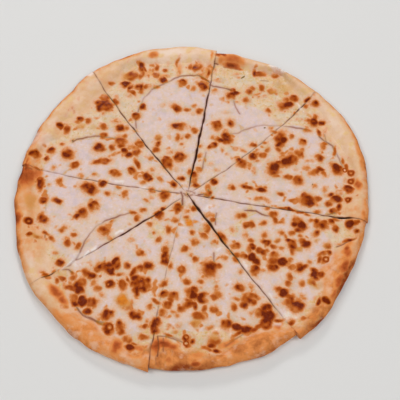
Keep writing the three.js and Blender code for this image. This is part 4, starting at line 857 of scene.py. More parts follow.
def half_gap(cut, distance, closing, shut):
    """Half the cut's width, less the share that cheese has closed and the share that is shut
    all along it; all cuts close at the hub, and two sines make the width uneven."""
    share = distance / MEAN_RADIUS
    open_share = 1 - along_list(cut.closed, share) * closing
    open_share = open_share * (1 - HUB_CLOSED * bell(distance, HUB_REACH)) * (1 - shut)
    uneven = 1 + 0.22 * np.sin(distance / 3.4 + 2 * cut.direction) + 0.16 * np.sin(distance / 1.35)
    return along_list(cut.widths, share) / 2 * open_share * uneven


def slice_direction(name, share, distance, closing=0.0, shut=0.0):
    """Direction in radians at a share around a slice, straight between its two cuts' own
    edges."""
    first, second = cuts_of(name)
    start, end = cut_direction(first, distance), cut_direction(second, distance)
    end = end + 2 * math.pi * np.ceil((start - end) / (2 * math.pi))
    plain = mix(start, end, share)
    inset_first = np.arcsin(np.clip(half_gap(first, distance, closing, shut) / distance, 0, 0.9))
    inset_second = np.arcsin(np.clip(half_gap(second, distance, closing, shut) / distance, 0, 0.9))
    return plain + inset_first * (1 - share) - inset_second * share


def cut_distance(name, share, distance):
    """Millimetres along the arc to the slice's first and second cut."""
    width = slice_direction(name, 1.0, distance) - slice_direction(name, 0.0, distance)
    return width * distance * share, width * distance * (1 - share)


def bubble_lift(direction, distance):
    """Height the rim bubbles add: each one's height times exp(-(share of its half widths)^2)."""
    lift = np.zeros_like(distance)
    for at, middle, around, outward, height in RIM_BUBBLES:
        turn = direction - math.radians(at)
        turn = np.arctan2(np.sin(turn), np.cos(turn)) * distance
        lift = lift + height * np.exp(-((turn / around) ** 2) - ((distance - middle) / outward) ** 2)
    return lift


def outline_distance(name, share):
    """Distance from the hub to the outer edge."""
    return along_list(SLICES[name].outline, share)


def dough_height(name, share, distance, plan, sizes):
    """Top of the dough: the flat floor under the cheese, a short slope at its edge, then the
    rim's dome, which falls off with the square of the way from crest to edge, and on the rim
    its bubbles and unevenness."""
    outline = outline_distance(name, share)
    seat = along_list(SLICES[name].cheese_edge, share) + LAYER_GAP + SEAT_RISE
    crest = along_list(SLICES[name].rim_height, share)
    crest_at = outline - np.minimum((outline - seat) * CREST_FRACTION, CREST_INSET_MAX)
    edge_inset, edge_level = EDGE_PROFILE[0]
    edge_at = outline - edge_inset
    past_floor = distance - seat + SEAT_RISE
    inner = smoothstep(0.0, 1.0, past_floor / (crest_at - seat + SEAT_RISE))
    outer = np.clip((distance - crest_at) / (edge_at - crest_at), 0, 1)
    dome = mix(SEAT_HEIGHT, crest, inner) - crest * (1 - edge_level) * outer**2
    height = mix(BASE_THICKNESS, dome, smoothstep(0.0, 1.0, past_floor / SEAT_RISE))
    direction = slice_direction(name, share, distance)
    rough = add_relief(0.0, plan, RIM_RELIEF, *plan_point(direction, distance))
    on_rim = smoothstep(-1.0, 5.0, distance - seat)
    return height + on_rim * (bubble_lift(direction, distance) + sizes.rim_unevenness * rough)


def cheese_reach(name, share):
    """Distance to the melted sheet's outer edge, which has run a little up the rim and wanders
    by two sines."""
    edge = along_list(SLICES[name].cheese_edge, share)
    x, y = plan_point(slice_direction(name, share, edge), edge)
    wander = 1.1 * np.sin(x / 5.3 + y / 7.9) + 0.7 * np.sin(y / 3.1 - x / 4.7 + 1.3)
    return np.minimum(edge + CHEESE_RUN + wander, outline_distance(name, share) - BARE_RIM)


def cheese_height(name, share, distance, plan, sizes):
    """Top of the cheese: the higher, softly joined, of a nearly level pool and of a thin film
    over the dough, plus round slices, blisters, ridges and grain, and at the cuts a lip, a bell
    curve, and a notch that fades as exp(-distance / width)."""
    edge = along_list(SLICES[name].cheese_edge, share) - LAYER_GAP
    x, y = plan_point(slice_direction(name, share, distance), distance)
    dx, dy = x - HUB_X, y - HUB_Y
    wave = CHEESE_WAVE * (np.sin(dx / 13 + dy / 29) + np.sin(dy / 17 - dx / 37 + 1))
    taper = smoothstep(0, CHEESE_TAPER, edge - distance)
    to_cuts = cut_distance(name, share, distance)
    slump = CUT_SLUMP * np.exp(-np.minimum(*to_cuts) / CUT_SLUMP_WIDTH)
    pool = BASE_THICKNESS + LAYER_GAP + mix(CHEESE_EDGE_THICKNESS, CHEESE_THICKNESS, taper)
    pool = pool + wave - slump
    inward = cheese_reach(name, share) - distance
    film = dough_height(name, share, distance, plan, sizes) + FILM_LIFT
    film = film + FILM_THICKNESS * smoothstep(0.0, FILM_GROWTH, inward)
    blend = np.clip(0.5 + 0.5 * (pool - film) / FILM_JOIN, 0, 1)
    top = mix(film, pool, blend) + FILM_JOIN * blend * (1 - blend)
    relief = ROUND_RELIEF * np.minimum(sample(plan["rounds"], x, y), ROUNDS_MAX) + ROUND_LEVEL
    relief = add_relief(relief, plan, CHEESE_RELIEF, x, y)
    for away, cut in zip(to_cuts, cuts_of(name)):
        opening = 1 - along_list(cut.closed, distance / MEAN_RADIUS)
        uneven = 0.6 + 0.5 * np.clip(sample(plan["lump"], x, y), -1, 1)
        lip = sizes.lip_height * uneven * bell(away - LIP_PLACE, LIP_WIDTH)
        notch = LIP_NOTCH * np.exp(-away / LIP_NOTCH_WIDTH)
        relief = relief + (0.4 + 0.6 * opening) * (lip - notch)
    relief = relief * smoothstep(0.2, SHEET_FADE, inward)
    sink = SHEET_SINK * (1 - smoothstep(0.0, 0.9, inward))
    return top + relief - sink


# ---- Meshes ---------------------------------------------------------------------------
def column_shares():
    """Shares around a slice, closer together towards both sides: t - k sin(2 pi t) / 2 pi."""
    t = np.linspace(0, 1, COLUMNS + 1)
    return t - CROWDING * np.sin(2 * math.pi * t) / (2 * math.pi)


def grid_ids(start, rows, columns):
    """Vertex numbers of a grid stored row after row from a first number."""
    return start + np.arange(rows * columns).reshape(rows, columns)


def strip(a, b):
    """Quads between two equally long lines of vertices, facing left of the way from a to b."""
    return np.stack([a[:-1], a[1:], b[1:], b[:-1]], -1).reshape(-1, 4)


def sheet_quads(ids):
    """Quads of a grid whose rows run outwards and columns counterclockwise, facing up."""
    return np.stack([ids[:-1, :-1], ids[1:, :-1], ids[1:, 1:], ids[:-1, 1:]], -1).reshape(-1, 4)


def side_panels(top, low, marks):
    """Polygons of a side wall seen from outside: each spans one step of the low line and all
    the top line's vertices above it."""
    panels = []
    for k in range(len(marks) - 1):
        upper = top[marks[k] : marks[k + 1] + 1][::-1]
        corners = np.concatenate([low[k : k + 2], upper])
        _, first = np.unique(corners, return_index=True)
        panels.append(corners[np.sort(first)])
    return panels


def build_mesh(name, points, quads, panels, values):
    """A mesh object from points in millimetres, quads, longer polygons and vertex values."""
    mesh = bpy.data.meshes.new(name)
    mesh.vertices.add(len(points))
    mesh.vertices.foreach_set("co", (points * MM).astype(np.float32).ravel())
    counts = np.concatenate([np.full(len(quads), 4), [len(p) for p in panels]]).astype(np.int32)
    corners = np.concatenate([quads.ravel(), *panels]).astype(np.int32)
    mesh.loops.add(len(corners))
    mesh.loops.foreach_set("vertex_index", corners)
    mesh.polygons.add(len(counts))
    starts = np.concatenate([[0], np.cumsum(counts)[:-1]]).astype(np.int32)
    mesh.polygons.foreach_set("loop_start", starts)
    mesh.polygons.foreach_set("use_smooth", np.ones(len(counts), bool))
    mesh.update(calc_edges=True)
    if mesh.validate():
        raise RuntimeError(f"{name} came out with broken faces")
    mesh.set_sharp_from_angle(angle=math.radians(SHARP_ANGLE))
    for key, value in values.items():
        layer = mesh.attributes.new(key, "FLOAT", "POINT")
        layer.data.foreach_set("value", value.astype(np.float32).ravel())
    made = bpy.data.objects.new(name, mesh)
    bpy.context.scene.collection.objects.link(made)
    return made


def plan_values(name, share, distance, crumb, plan):
    """The vertex values a material reads, from the plan and the slice's own lists: among them
    how melted, baked (with painted light and shade on the rim) and fat a place is, and the dark
    lips, partly browned cheese and partly painted shade of the gap, which fade as
    exp(-distance / width) from a cut."""
    direction = slice_direction(name, share, distance)
    x, y = plan_point(direction, distance)
    turn = np.mod(np.degrees(direction), 360.0) / 360.0
    inset = outline_distance(name, share) - distance
    drift = sample(plan["lump"], x, y)
    melt = 1 - smoothstep(-9.0, 2.0, distance - cheese_reach(name, share) + 2.2 * drift)
    edge = smoothstep(6.8, 0.4, inset + 0.8 * drift)
    # The rim's lists hold painted light too: paler where the slope is shaded, painted shade at the outer
    # edge
    bake_and_painted_light = mix(along_list(RIM_HEAT_AND_LIGHT, turn), along_list(EDGE_HEAT_AND_SHADE, turn), edge)
    bake_and_painted_light = bake_and_painted_light + 0.05 * sample(plan["swell"], x, y) + 0.025 * drift
    rich = FAT_LEVEL + FAT_IN_ROUNDS * sample(plan["cover"], x, y)
    rich = rich + FAT_AT_RIM * smoothstep(26.0, 8.0, inset) + FAT_DRIFT * sample(plan["drift"], x, y)
    rich = rich + FAT_BY_STAINS * sample(plan["stain"], x, y)
    fields = {key: sample(plan[key], x, y) for key in ("brown", "oil", "line", "ridge", "toast")}
    # Dark lips along each cut: partly browned cheese, partly painted shade of the gap
    for away, cut in zip(cut_distance(name, share, distance), cuts_of(name)):
        tone = along_list(cut.darkness, distance / MEAN_RADIUS)
        tone = tone * (1 + 0.22 * np.sin(distance / 2.9 + cut.direction) + 0.2 * np.sin(distance / 1.2))
        fields["line"] = np.maximum(fields["line"], tone * np.exp(-away / LIP_STAIN_AND_SHADE_WIDTH))
    values = {key: np.clip(field, 0, 1) for key, field in fields.items()}
    bake_and_painted_light, rich = np.clip(bake_and_painted_light, 0, 1.2), np.clip(rich, 0, 1)
    return {**values, "bake_and_painted_light": bake_and_painted_light, "melt": melt, "rich": rich, "crumb": crumb}


def place(name, share, distance, height, closing, shut=0.0):
    """Points of a slice in the pizza's own place, in millimetres."""
    x, y = plan_point(slice_direction(name, share, distance, closing, shut), distance)
    return np.stack([x, y, np.broadcast_to(height, x.shape)], -1)


def closing_of(name, share, distance):
    """How much of the width listed as closed is closed here: 1 at a slice's sides, falling off
    inwards as exp(-distance / width)."""
    return np.exp(-np.minimum(*cut_distance(name, share, distance)) / CLOSING_WIDTH)


def join_values(*groups):
    """Vertex values of several grids, one after another."""
    return {key: np.concatenate([g[key].ravel() for g in groups]) for key in groups[0]}


def make_cheese(name, plan, sizes):
    """One slice's melted sheet: a top of rows from tip to edge, a line a third of the way down
    each side, a coarse underside that follows the dough, and strips that close the ends."""
    share = np.broadcast_to(column_shares()[None, :], (CHEESE_ROWS + 1, COLUMNS + 1))
    steps = np.linspace(0, 1, CHEESE_ROWS + 1)[:, None]
    distance = mix(TIP_RADIUS, cheese_reach(name, share), steps)
    height = cheese_height(name, share, distance, plan, sizes)
    even = np.linspace(0, CHEESE_ROWS - EDGE_ROWS, LOW_ROWS + 1)
    close = np.arange(CHEESE_ROWS - EDGE_ROWS, CHEESE_ROWS + 1, 2)[1:]
    marks = np.concatenate([even, close]).astype(int)
    low_share, low_distance = share[marks], distance[marks]
    edge = along_list(SLICES[name].cheese_edge, low_share)
    under = dough_height(name, low_share, low_distance, plan, sizes) - UNDER_RIM_DEPTH
    low_height = np.where(low_distance > edge - 2.0, under, BASE_THICKNESS + FLOOR_CLEARANCE)
    low_height = np.minimum(low_height, height[marks] - LEAST_THICKNESS)

    top_points = place(name, share, distance, height, closing_of(name, share, distance))
    low_points = place(name, low_share, low_distance, low_height, 0.0)
    sides = []
    for column, side in ((0, 0.0), (COLUMNS, 1.0)):
        line = distance[:, column]
        floor = np.interp(line, low_distance[:, column], low_height[:, column])
        middle = mix(height[:, column], floor, SIDE_LINE_DEPTH)
        sides.append(place(name, np.full_like(line, side), line, middle, SIDE_LINE_CLOSING))

    top = grid_ids(0, CHEESE_ROWS + 1, COLUMNS + 1)
    low = grid_ids(top.size, len(marks), COLUMNS + 1)
    near = np.arange(CHEESE_ROWS + 1) + top.size + low.size
    far = near + len(near)
    quads = np.concatenate([
        sheet_quads(top),
        sheet_quads(low)[:, ::-1],
        strip(near, top[:, 0]),
        strip(top[:, -1], far),
        strip(top[0], low[0]),
        strip(low[-1], top[-1]),
    ])
    ends = [
        np.array([low[0, 0], near[0], top[0, 0]]), np.array([top[0, -1], far[0], low[0, -1]]),
        np.array([low[-1, 0], top[-1, 0], near[-1]]), np.array([top[-1, -1], low[-1, -1], far[-1]]),
    ]
    panels = side_panels(near, low[:, 0], marks)
    panels += [panel[::-1] for panel in side_panels(far, low[:, -1], marks)]
    points = np.concatenate([top_points.reshape(-1, 3), low_points.reshape(-1, 3), *sides])
    on_side = np.array([[0.0], [1.0]]) + np.zeros((2, CHEESE_ROWS + 1))
    side_distance = np.stack([distance[:, 0], distance[:, -1]])
    values = join_values(
        plan_values(name, share, distance, np.zeros(share.shape), plan),
        plan_values(name, low_share, low_distance, np.ones(low_share.shape), plan),
        plan_values(name, on_side, side_distance, np.full(on_side.shape, SIDE_CRUMB), plan),
    )
    return build_mesh("melted_cheese_" + name, points, quads, panels + ends, values)


def edge_curve(count):
    """Inset and height share down the rounded outer edge: a Catmull-Rom curve through the
    profile's points, from just after the first to the foot."""
    knots = np.array([EDGE_BEFORE, *EDGE_PROFILE, EDGE_AFTER])
    spot = np.linspace(0, len(EDGE_PROFILE) - 1, count + 1)[1:]
    first = np.minimum(spot.astype(int), len(EDGE_PROFILE) - 2)
    t = (spot - first)[:, None]
    a, b, c, d = (knots[first + k] for k in range(4))
    curve = 0.5 * (2 * b + (c - a) * t + (2 * a - 5 * b + 4 * c - d) * t**2
                   + (3 * b - a - 3 * c + d) * t**3)
    return curve[:, 0], np.clip(curve[:, 1], 0, None)


def make_dough(name, plan, sizes):
    """One slice's dough: rows over the hidden floor and the rim, then down the rounded outer
    edge to the foot, which the flat underside shares."""
    columns = column_shares()
    outline = outline_distance(name, columns)
    floor_end = along_list(SLICES[name].cheese_edge, columns) - FLOOR_MARGIN
    edge_inset, edge_level = EDGE_PROFILE[0]
    floor_steps = np.linspace(0, 1, DOUGH_FLOOR_ROWS, endpoint=False)[:, None]
    rim_steps = np.linspace(0, 1, DOUGH_RIM_ROWS + 1)[:, None]
    floor_rows = mix(TIP_RADIUS, floor_end, floor_steps)
    over = np.concatenate([floor_rows, mix(floor_end, outline - edge_inset, rim_steps)])
    over_share = np.broadcast_to(columns[None, :], over.shape)
    over_height = dough_height(name, over_share, over, plan, sizes)
    inset, level = edge_curve(DOUGH_EDGE_ROWS)
    x, y = plan_point(slice_direction(name, columns, outline), outline)
    swing = add_relief(0.0, plan, EDGE_SWING, x, y)
    bulge = np.sin(math.pi * np.linspace(0, 1, DOUGH_EDGE_ROWS))[:, None]
    down = outline - inset[:, None] + swing * bulge
    down_height = over_height[-1] * (level[:, None] / edge_level)
    distance = np.concatenate([over, down])
    height = np.concatenate([over_height, down_height])
    height[-1] = 0.0
    share = np.broadcast_to(columns[None, :], distance.shape)
    rows = len(distance)

    under_floor = np.linspace(0, DOUGH_FLOOR_ROWS, DOUGH_LOW_ROWS + 1)
    under_rim = np.linspace(DOUGH_FLOOR_ROWS, len(over) - 5, DOUGH_LOW_ROWS + 1)[1:]
    marks = np.concatenate([under_floor, under_rim, [rows - 1]]).round().astype(int)
    low_distance = distance[marks]
    top = grid_ids(0, rows, COLUMNS + 1)
    low = grid_ids(top.size, len(marks) - 1, COLUMNS + 1)
    low = np.concatenate([low, top[-1:]])
    quads = np.concatenate([sheet_quads(top), sheet_quads(low)[:, ::-1], strip(top[0], low[0])])
    panels = side_panels(top[:, 0], low[:, 0], marks)
    panels += [panel[::-1] for panel in side_panels(top[:, -1], low[:, -1], marks)]
    low_share = share[: len(marks) - 1]
    pressed = closing_of(name, share, distance) * smoothstep(0.0, 4.0, height)
    hidden = 1 - smoothstep(-2.0, 3.0, distance - floor_end)
    shut = DOUGH_SHUT * hidden * closing_of(name, share, distance)
    points = np.concatenate([
        place(name, share, distance, height, pressed, shut).reshape(-1, 3),
        place(name, low_share, low_distance[:-1], 0.0, 0.0).reshape(-1, 3),
    ])
    values = join_values(
        plan_values(name, share, distance, np.zeros(share.shape), plan),
        plan_values(name, low_share, low_distance[:-1], np.ones(low_share.shape), plan),
    )
    # Painted shade: the hidden floor is drawn dark, as only the bottoms of the cuts show it
    top_line = values["line"][: share.size]
    values["line"][: share.size] = np.maximum(top_line, DOUGH_SHADE * hidden.ravel())
    return build_mesh("baked_dough_" + name, points, quads, panels, values)


# ---- Materials ------------------------------------------------------------------------
def linear(colour):
    """Linear values of a display colour, with full opacity."""
    c = np.asarray(colour, float)
    c = np.where(c <= 0.04045, c / 12.92, ((c + 0.055) / 1.055) ** 2.4)
    return (*c, 1.0)


class Nodes:
    """Adds and links the nodes of one material."""

    def __init__(self, name, colours):
        self.colours = colours
        self.material = bpy.data.materials.new(name)
        self.material.use_nodes = True
        self.tree = self.material.node_tree
        self.tree.nodes.clear()

    def add(self, kind, inputs=None, **settings):
        """A node of a kind, with settings, and with inputs that are values or other outputs."""
        made = self.tree.nodes.new(kind)
        for key, value in settings.items():
            setattr(made, key, value)
        for key, value in (inputs or {}).items():
            if isinstance(value, bpy.types.NodeSocket):
                self.tree.links.new(value, made.inputs[key])
            else:
                made.inputs[key].default_value = value
        return made

    def colour(self, name, opacity=1.0):
        """Linear values of one of the colour settings, with an opacity."""
        return (*linear(getattr(self.colours, name))[:3], opacity)

    def value(self, attribute):
        """A vertex value of the mesh."""
        return self.add("ShaderNodeAttribute", attribute_name=attribute).outputs["Fac"]

    def noise(self, size_mm, detail=3.0, roughness=0.55):
        """Noise from about 0 to 1 whose lumps have a size in millimetres."""
        where = self.add("ShaderNodeTexCoord").outputs["Object"]
        scale = 1.0 / (size_mm * MM)
        inputs = {"Vector": where, "Scale": scale, "Detail": detail, "Roughness": roughness}
        return self.add("ShaderNodeTexNoise", inputs).outputs[0]

    def span(self, value, low, high, to_low=0.0, to_high=1.0):
        """A value carried from one range to another, held at the ends."""
        inputs = {0: value, 1: low, 2: high, 3: to_low, 4: to_high}
        return self.add("ShaderNodeMapRange", inputs, clamp=True).outputs[0]

    def patches(self, size_mm, low, high, to_low, to_high, detail=3.0):
        """Noise of a size in millimetres, carried from one range to another."""
        return self.span(self.noise(size_mm, detail), low, high, to_low, to_high)

    def maths(self, operation, a, b):
        """Two values put together."""
        return self.add("ShaderNodeMath", {0: a, 1: b}, operation=operation).outputs[0]

    def blend(self, share, a, b, kind="MIX"):
        """Colour a at share 0 and b at share 1."""
        inputs = {0: share, 6: a, 7: b}
        return self.add("ShaderNodeMix", inputs, data_type="RGBA", blend_type=kind).outputs[2]

    def ramp(self, value, stops):
        """A colour ramp through stops of a position, a colour setting's name and, if it isn't
        1, an opacity; returns colour and opacity."""
        made = self.add("ShaderNodeValToRGB", {0: value})
        line = made.color_ramp
        while len(line.elements) < len(stops):
            line.elements.new(0.5)
        for element, (position, *colour) in zip(line.elements, stops):
            element.position = position
            element.color = self.colour(*colour)
        return made.outputs["Color"], made.outputs["Alpha"]


def add_tints(n, base, tints, within=None):
    """Lays uneven tints over a colour, one after another; within limits them to a value."""
    for size, detail, low, high, at_low, at_high, colour, kind in tints:
        amount = n.patches(size, low, high, at_low, at_high, detail)
        if within is not None:
            amount = n.maths("MULTIPLY", amount, within)
        base = n.blend(amount, base, n.colour(colour), kind)
    return base


def dough_colour(n):
    """Dough from pale to toasted by how baked it is, with the rim's painted light and shade, and with
    uneven tints.
    """
    heat_and_painted_light = n.maths("MULTIPLY", n.value("bake_and_painted_light"), n.patches(11.0, 0.34, 0.66, 0.8, 1.2))
    heat_and_painted_light = n.maths("ADD", heat_and_painted_light, n.patches(4.5, 0.34, 0.66, -0.05, 0.06))
    heat_and_painted_light = n.maths("ADD", heat_and_painted_light, n.patches(1.4, 0.3, 0.7, -0.03, 0.03))
    dough, _ = n.ramp(n.maths("MULTIPLY", heat_and_painted_light, 0.9), (
        (0.0, "dough_pale"), (0.34, "dough_golden"), (0.62, "dough_orange"), (0.98, "dough_toasted"),
    ))
    return add_tints(n, dough, DOUGH_TINTS)


def cheese_colour(n):
    """Cheese from white to golden by how fat it is, with uneven tints."""
    rich = n.maths("ADD", n.value("rich"), n.patches(6.0, 0.3, 0.7, -0.26, 0.26))
    rich = n.maths("ADD", rich, n.patches(2.2, 0.3, 0.7, -0.26, 0.26))
    cheese, _ = n.ramp(n.maths("MULTIPLY", rich, 0.7), (
        (0.0, "cheese_white"), (0.28, "cheese_cream"), (0.55, "cheese_rich"), (0.95, "cheese_gold"),
    ))
    cheese = add_tints(n, cheese, FAT_CHEESE_TINTS, n.span(rich, 0.3, 0.75))
    return add_tints(n, cheese, CHEESE_TINTS)


def add_toast(n, food):
    """The rim's toasted patches, from orange to scorched, with one painted shadow beside the left cut."""
    toast = n.maths("MULTIPLY", n.value("toast"), n.patches(3.0, 0.3, 0.7, 0.85, 1.15))
    tan, share = n.ramp(toast, (
        (0.0, "dough_orange", 0.0), (0.26, "dough_orange"), (0.55, "toast"),
        (0.84, "dough_toasted"), (1.0, "dough_scorched"),
    ))
    return n.blend(share, food, tan, "DARKEN")


def add_folds(n, food):
    """Folds, creases and the dark lips of the cuts, partly browning and partly painted shade, then the
    white ridges and painted highlights.
    """
    # The line value is drawn dark: painted shade of grooves, gaps and the hidden floor, with browning
    fold, share = n.ramp(n.value("line"), (
        (0.0, "fold", 0.0), (0.4, "fold", 0.7), (0.75, "crease", 0.9), (1.0, "gap"),
    ))
    food = n.blend(share, food, fold, "DARKEN")
    # white ridges and pale spots, laid with painted highlights and glints
    return n.blend(n.maths("MULTIPLY", n.value("ridge"), 0.85), food, n.colour("ridge"))


def add_underside(n, food):
    """The baked underside, golden with brown spots, up to just above the foot."""
    spots = n.patches(13.0, 0.42, 0.78, 0.0, 1.0)
    base, _ = n.ramp(spots, ((0.0, "dough_golden"), (0.45, "dough_orange"), (1.0, "dough_toasted")))
    where = n.add("ShaderNodeTexCoord").outputs["Object"]
    height = n.add("ShaderNodeSeparateXYZ", {0: where}).outputs[2]
    return n.blend(n.span(height, 0.2 * MM, 1.6 * MM, 1.0, 0.0), food, base)


def add_blisters(n, food, crust):
    """Browning from a peach skirt to a dark middle, only where the crust shows."""
    brown = n.maths("ADD", n.value("brown"), n.patches(1.5, 0.3, 0.7, -0.06, 0.06))
    baked, share = n.ramp(brown, (
        (0.05, "blister_peach", 0.0), (0.2, "blister_peach"), (0.36, "blister_orange"),
        (0.58, "blister_brown"), (0.84, "blister_red"), (1.0, "blister_dark"),
    ))
    return n.blend(n.maths("MULTIPLY", share, crust), food, baked, "DARKEN")


def add_oil(n, food, crust):
    """Coloured fat, golden where thin and orange where thick, and none on dark blisters."""
    pale = n.span(n.value("brown"), 0.4, 0.7, 1.0, 0.0)
    oil = n.maths("MULTIPLY", n.value("oil"), n.patches(2.0, 0.3, 0.6, 0.75, 1.1, 4.0))
    oil = n.maths("MULTIPLY", oil, crust)
    tint = n.blend(n.span(n.value("oil"), 0.45, 0.95), n.colour("cheese_gold"), n.colour("oil"))
    return n.blend(n.maths("MULTIPLY", oil, pale), food, tint)


def food_material(name, colours, sizes, gloss):
    """Dough and cheese in one: the vertex values say where each shows, where the oven browned
    it, where fat or a crease lies, where shade, highlights and glints are painted and where the
    crumb is cut; noises vary every tone."""
    n = Nodes(name, colours)
    crust = n.maths("SUBTRACT", 1.0, n.value("crumb"))
    food = n.blend(n.value("melt"), dough_colour(n), cheese_colour(n))
    food = add_toast(n, food)
    food = n.blend(n.maths("MULTIPLY", n.value("crumb"), 0.75), food, n.colour("crumb"))
    food = add_folds(n, food)
    food = add_underside(n, food)
    food = add_blisters(n, food, crust)
    food = add_oil(n, food, crust)

    rough = n.span(n.value("melt"), 0.0, 1.0, sizes.dough_roughness, sizes.cheese_roughness)
    rough = n.maths("ADD", rough, n.patches(2.0, 0.3, 0.7, -0.07, 0.07))
    rough = n.maths("SUBTRACT", rough, n.span(n.value("brown"), 0.3, 0.8, 0.0, 0.14))
    fine = n.maths("ADD", n.noise(0.8, 4.0), n.maths("MULTIPLY", n.noise(2.6, 3.0), 1.2))
    crackle = n.maths("MULTIPLY", n.noise(1.3, 3.0), n.span(n.value("brown"), 0.3, 0.8, 0.0, 2.2))
    fine = n.maths("ADD", fine, crackle)
    bump = n.add("ShaderNodeBump", {"Strength": 0.5, "Distance": 0.25 * MM, "Height": fine})
    shader = n.add("ShaderNodeBsdfPrincipled", {
        "Base Color": food, "Roughness": rough, "Normal": bump.outputs[0],
        "Specular IOR Level": gloss,
    })
    n.add("ShaderNodeOutputMaterial", {0: shader.outputs[0]})
    return n.material


def herb_material(colours):
    """Dried leaf: a dull olive brown that varies along the fleck."""
    n = Nodes("dried_herb", colours)
    tint = n.blend(n.patches(0.8, 0.35, 0.65, 0.0, 1.0), n.colour("herb"), n.colour("herb_pale"))
    bump = n.add("ShaderNodeBump", {"Strength": 0.4, "Distance": 0.1 * MM, "Height": n.noise(0.4)})
    shader = n.add("ShaderNodeBsdfPrincipled", {
        "Base Color": tint, "Roughness": 0.8, "Normal": bump.outputs[0],
    })
    n.add("ShaderNodeOutputMaterial", {0: shader.outputs[0]})
    return n.material


def floor_material(colours):
    """Plain matt floor."""
    n = Nodes("plain_floor", colours)
    shader = n.add("ShaderNodeBsdfPrincipled", {"Base Color": n.colour("floor"), "Roughness": 0.9})
    n.add("ShaderNodeOutputMaterial", {0: shader.outputs[0]})
    return n.material


# ---- Settings ---------------------------------------------------------------------------
def colour_setting(name, description, red, green, blue):
    """A display colour from 0 to 255 a channel."""
    return FloatVectorProperty(
        name=name, description=description, subtype="COLOR_GAMMA", size=3, min=0.0, max=1.0,
        default=(red / 255, green / 255, blue / 255),
    )


class PizzaSizes(bpy.types.PropertyGroup):
    """Heights and finishes a user may change."""

    blister_height: FloatProperty(
        name="Blister height", description="Scale of the blisters' domes", default=1.1, min=0.0, max=2.0)
    lip_height: FloatProperty(
        name="Lip height", description="Height in mm of the cheese's lips beside a cut",
        default=0.35, min=0.0, max=1.0)
    rim_unevenness: FloatProperty(
        name="Rim unevenness", description="Scale of the rim's lumps", default=1.0, min=0.0, max=2.0)
    dough_roughness: FloatProperty(
        name="Dough roughness", description="Roughness of the dough", default=0.72,
        min=0.0, max=1.0, subtype="FACTOR")
    cheese_roughness: FloatProperty(
        name="Cheese roughness", description="Roughness of the cheese", default=0.36,
        min=0.0, max=1.0, subtype="FACTOR")
    soft_power: FloatProperty(
        name="Side lights", description="Power of the two large soft lights left and right",
        default=10.8, min=0.0, max=100.0, subtype="POWER", unit="POWER")
    front_power: FloatProperty(
        name="Front light", description="Power of the soft light in front", default=6.5,
        min=0.0, max=100.0, subtype="POWER", unit="POWER")
    back_power: FloatProperty(
        name="Back light", description="Power of the low light behind, which gives the glints",
        default=12.0, min=0.0, max=100.0, subtype="POWER", unit="POWER")
    sky_strength: FloatProperty(
        name="Even light", description="Strength of the even light all round", default=0.25,
        min=0.0, max=3.0)


class PizzaColours(bpy.types.PropertyGroup):
    """Colours a user may change."""

    dough_pale: colour_setting("Pale dough", "Least baked dough", 239, 207, 182)
    dough_yellow: colour_setting("Yellow dough", "Yellow patches of the rim", 234, 194, 132)
    dough_golden: colour_setting("Golden dough", "Evenly baked dough", 228, 182, 139)
    dough_orange: colour_setting("Orange dough", "Well baked dough", 229, 145, 79)
    dough_toasted: colour_setting("Toasted dough", "Darkest patches of the rim", 148, 66, 28)
    dough_scorched: colour_setting("Scorched dough", "Burnt spots of the rim's edge", 108, 46, 18)
    # also paints the shadow beside the left cut on the rim
    toast: colour_setting("Toast", "Toasted patches of the rim", 196, 98, 46)
    crumb: colour_setting("Crumb", "Cut faces", 204, 158, 110)
    cheese_white: colour_setting("White cheese", "Melted round slices", 227, 202, 197)
    cheese_cream: colour_setting("Cream cheese", "Between the rounds' middle and edge", 227, 196, 174)
    cheese_milky: colour_setting("Milky cheese", "Paler pools in the rich cheese", 228, 206, 178)
    cheese_rich: colour_setting("Rich cheese", "Melted cheese near the rim", 230, 190, 142)
    cheese_gold: colour_setting("Golden cheese", "Fattest places of the sheet", 208, 156, 84)
    cheese_shade: colour_setting("Shaded cheese", "Thin places of the melted sheet", 212, 190, 192)
    # also paints highlights: the white glints on the cheese and the lit spots on the rim
    ridge: colour_setting("White ridge", "Cheese squeezed up beside cuts", 246, 236, 230)
    oil: colour_setting("Coloured fat", "Patches where fat has gathered", 222, 130, 30)
    # fold, crease and gap paint dark lines: partly browning, partly painted shade in grooves and gaps
    fold: colour_setting("Fold", "Edges of the melted round slices", 166, 104, 74)
    crease: colour_setting("Crease", "Creases of the rim and cheese", 130, 70, 42)
    gap: colour_setting("Cut lip", "Darkest lips of the cuts", 58, 28, 16)
    blister_peach: colour_setting("Blister edge", "Palest browning", 232, 180, 146)
    blister_orange: colour_setting("Light blister", "Light browning", 214, 134, 70)
    blister_brown: colour_setting("Brown blister", "Even browning", 190, 98, 32)
    blister_red: colour_setting("Deep blister", "Deep browning", 160, 66, 8)
    blister_dark: colour_setting("Dark blister", "Darkest browning", 112, 36, 8)
    herb: colour_setting("Herb", "Dried herb flecks", 104, 80, 24)
    herb_pale: colour_setting("Pale herb", "Lighter parts of the flecks", 142, 114, 50)
    floor: colour_setting("Floor", "Plain floor under the pizza", 225, 224, 222)


# ---- Operators --------------------------------------------------------------------------
def make_slices(context, kind, gloss, slot, make):
    """Makes all eight slices of one kind and ties each to its node of the frame."""
    sizes = context.scene.pizza_sizes
    plan = make_plan(sizes.blister_height)
    material = food_material(kind, context.scene.pizza_colours, sizes, gloss)
    for name in SLICES:
        made = make(name, plan, sizes)
        made.data.materials.append(material)
        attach(made, "root")
        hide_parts(slot + "_" + name)


class PIZZA_OT_dough(bpy.types.Operator):
    """Builds the eight dough wedges with their rim"""

    bl_idname = "pizza.dough"
    bl_label = "Baked dough"

    def execute(self, context):
        make_slices(context, "baked_dough", DOUGH_GLOSS, "dough", make_dough)
        return {"FINISHED"}


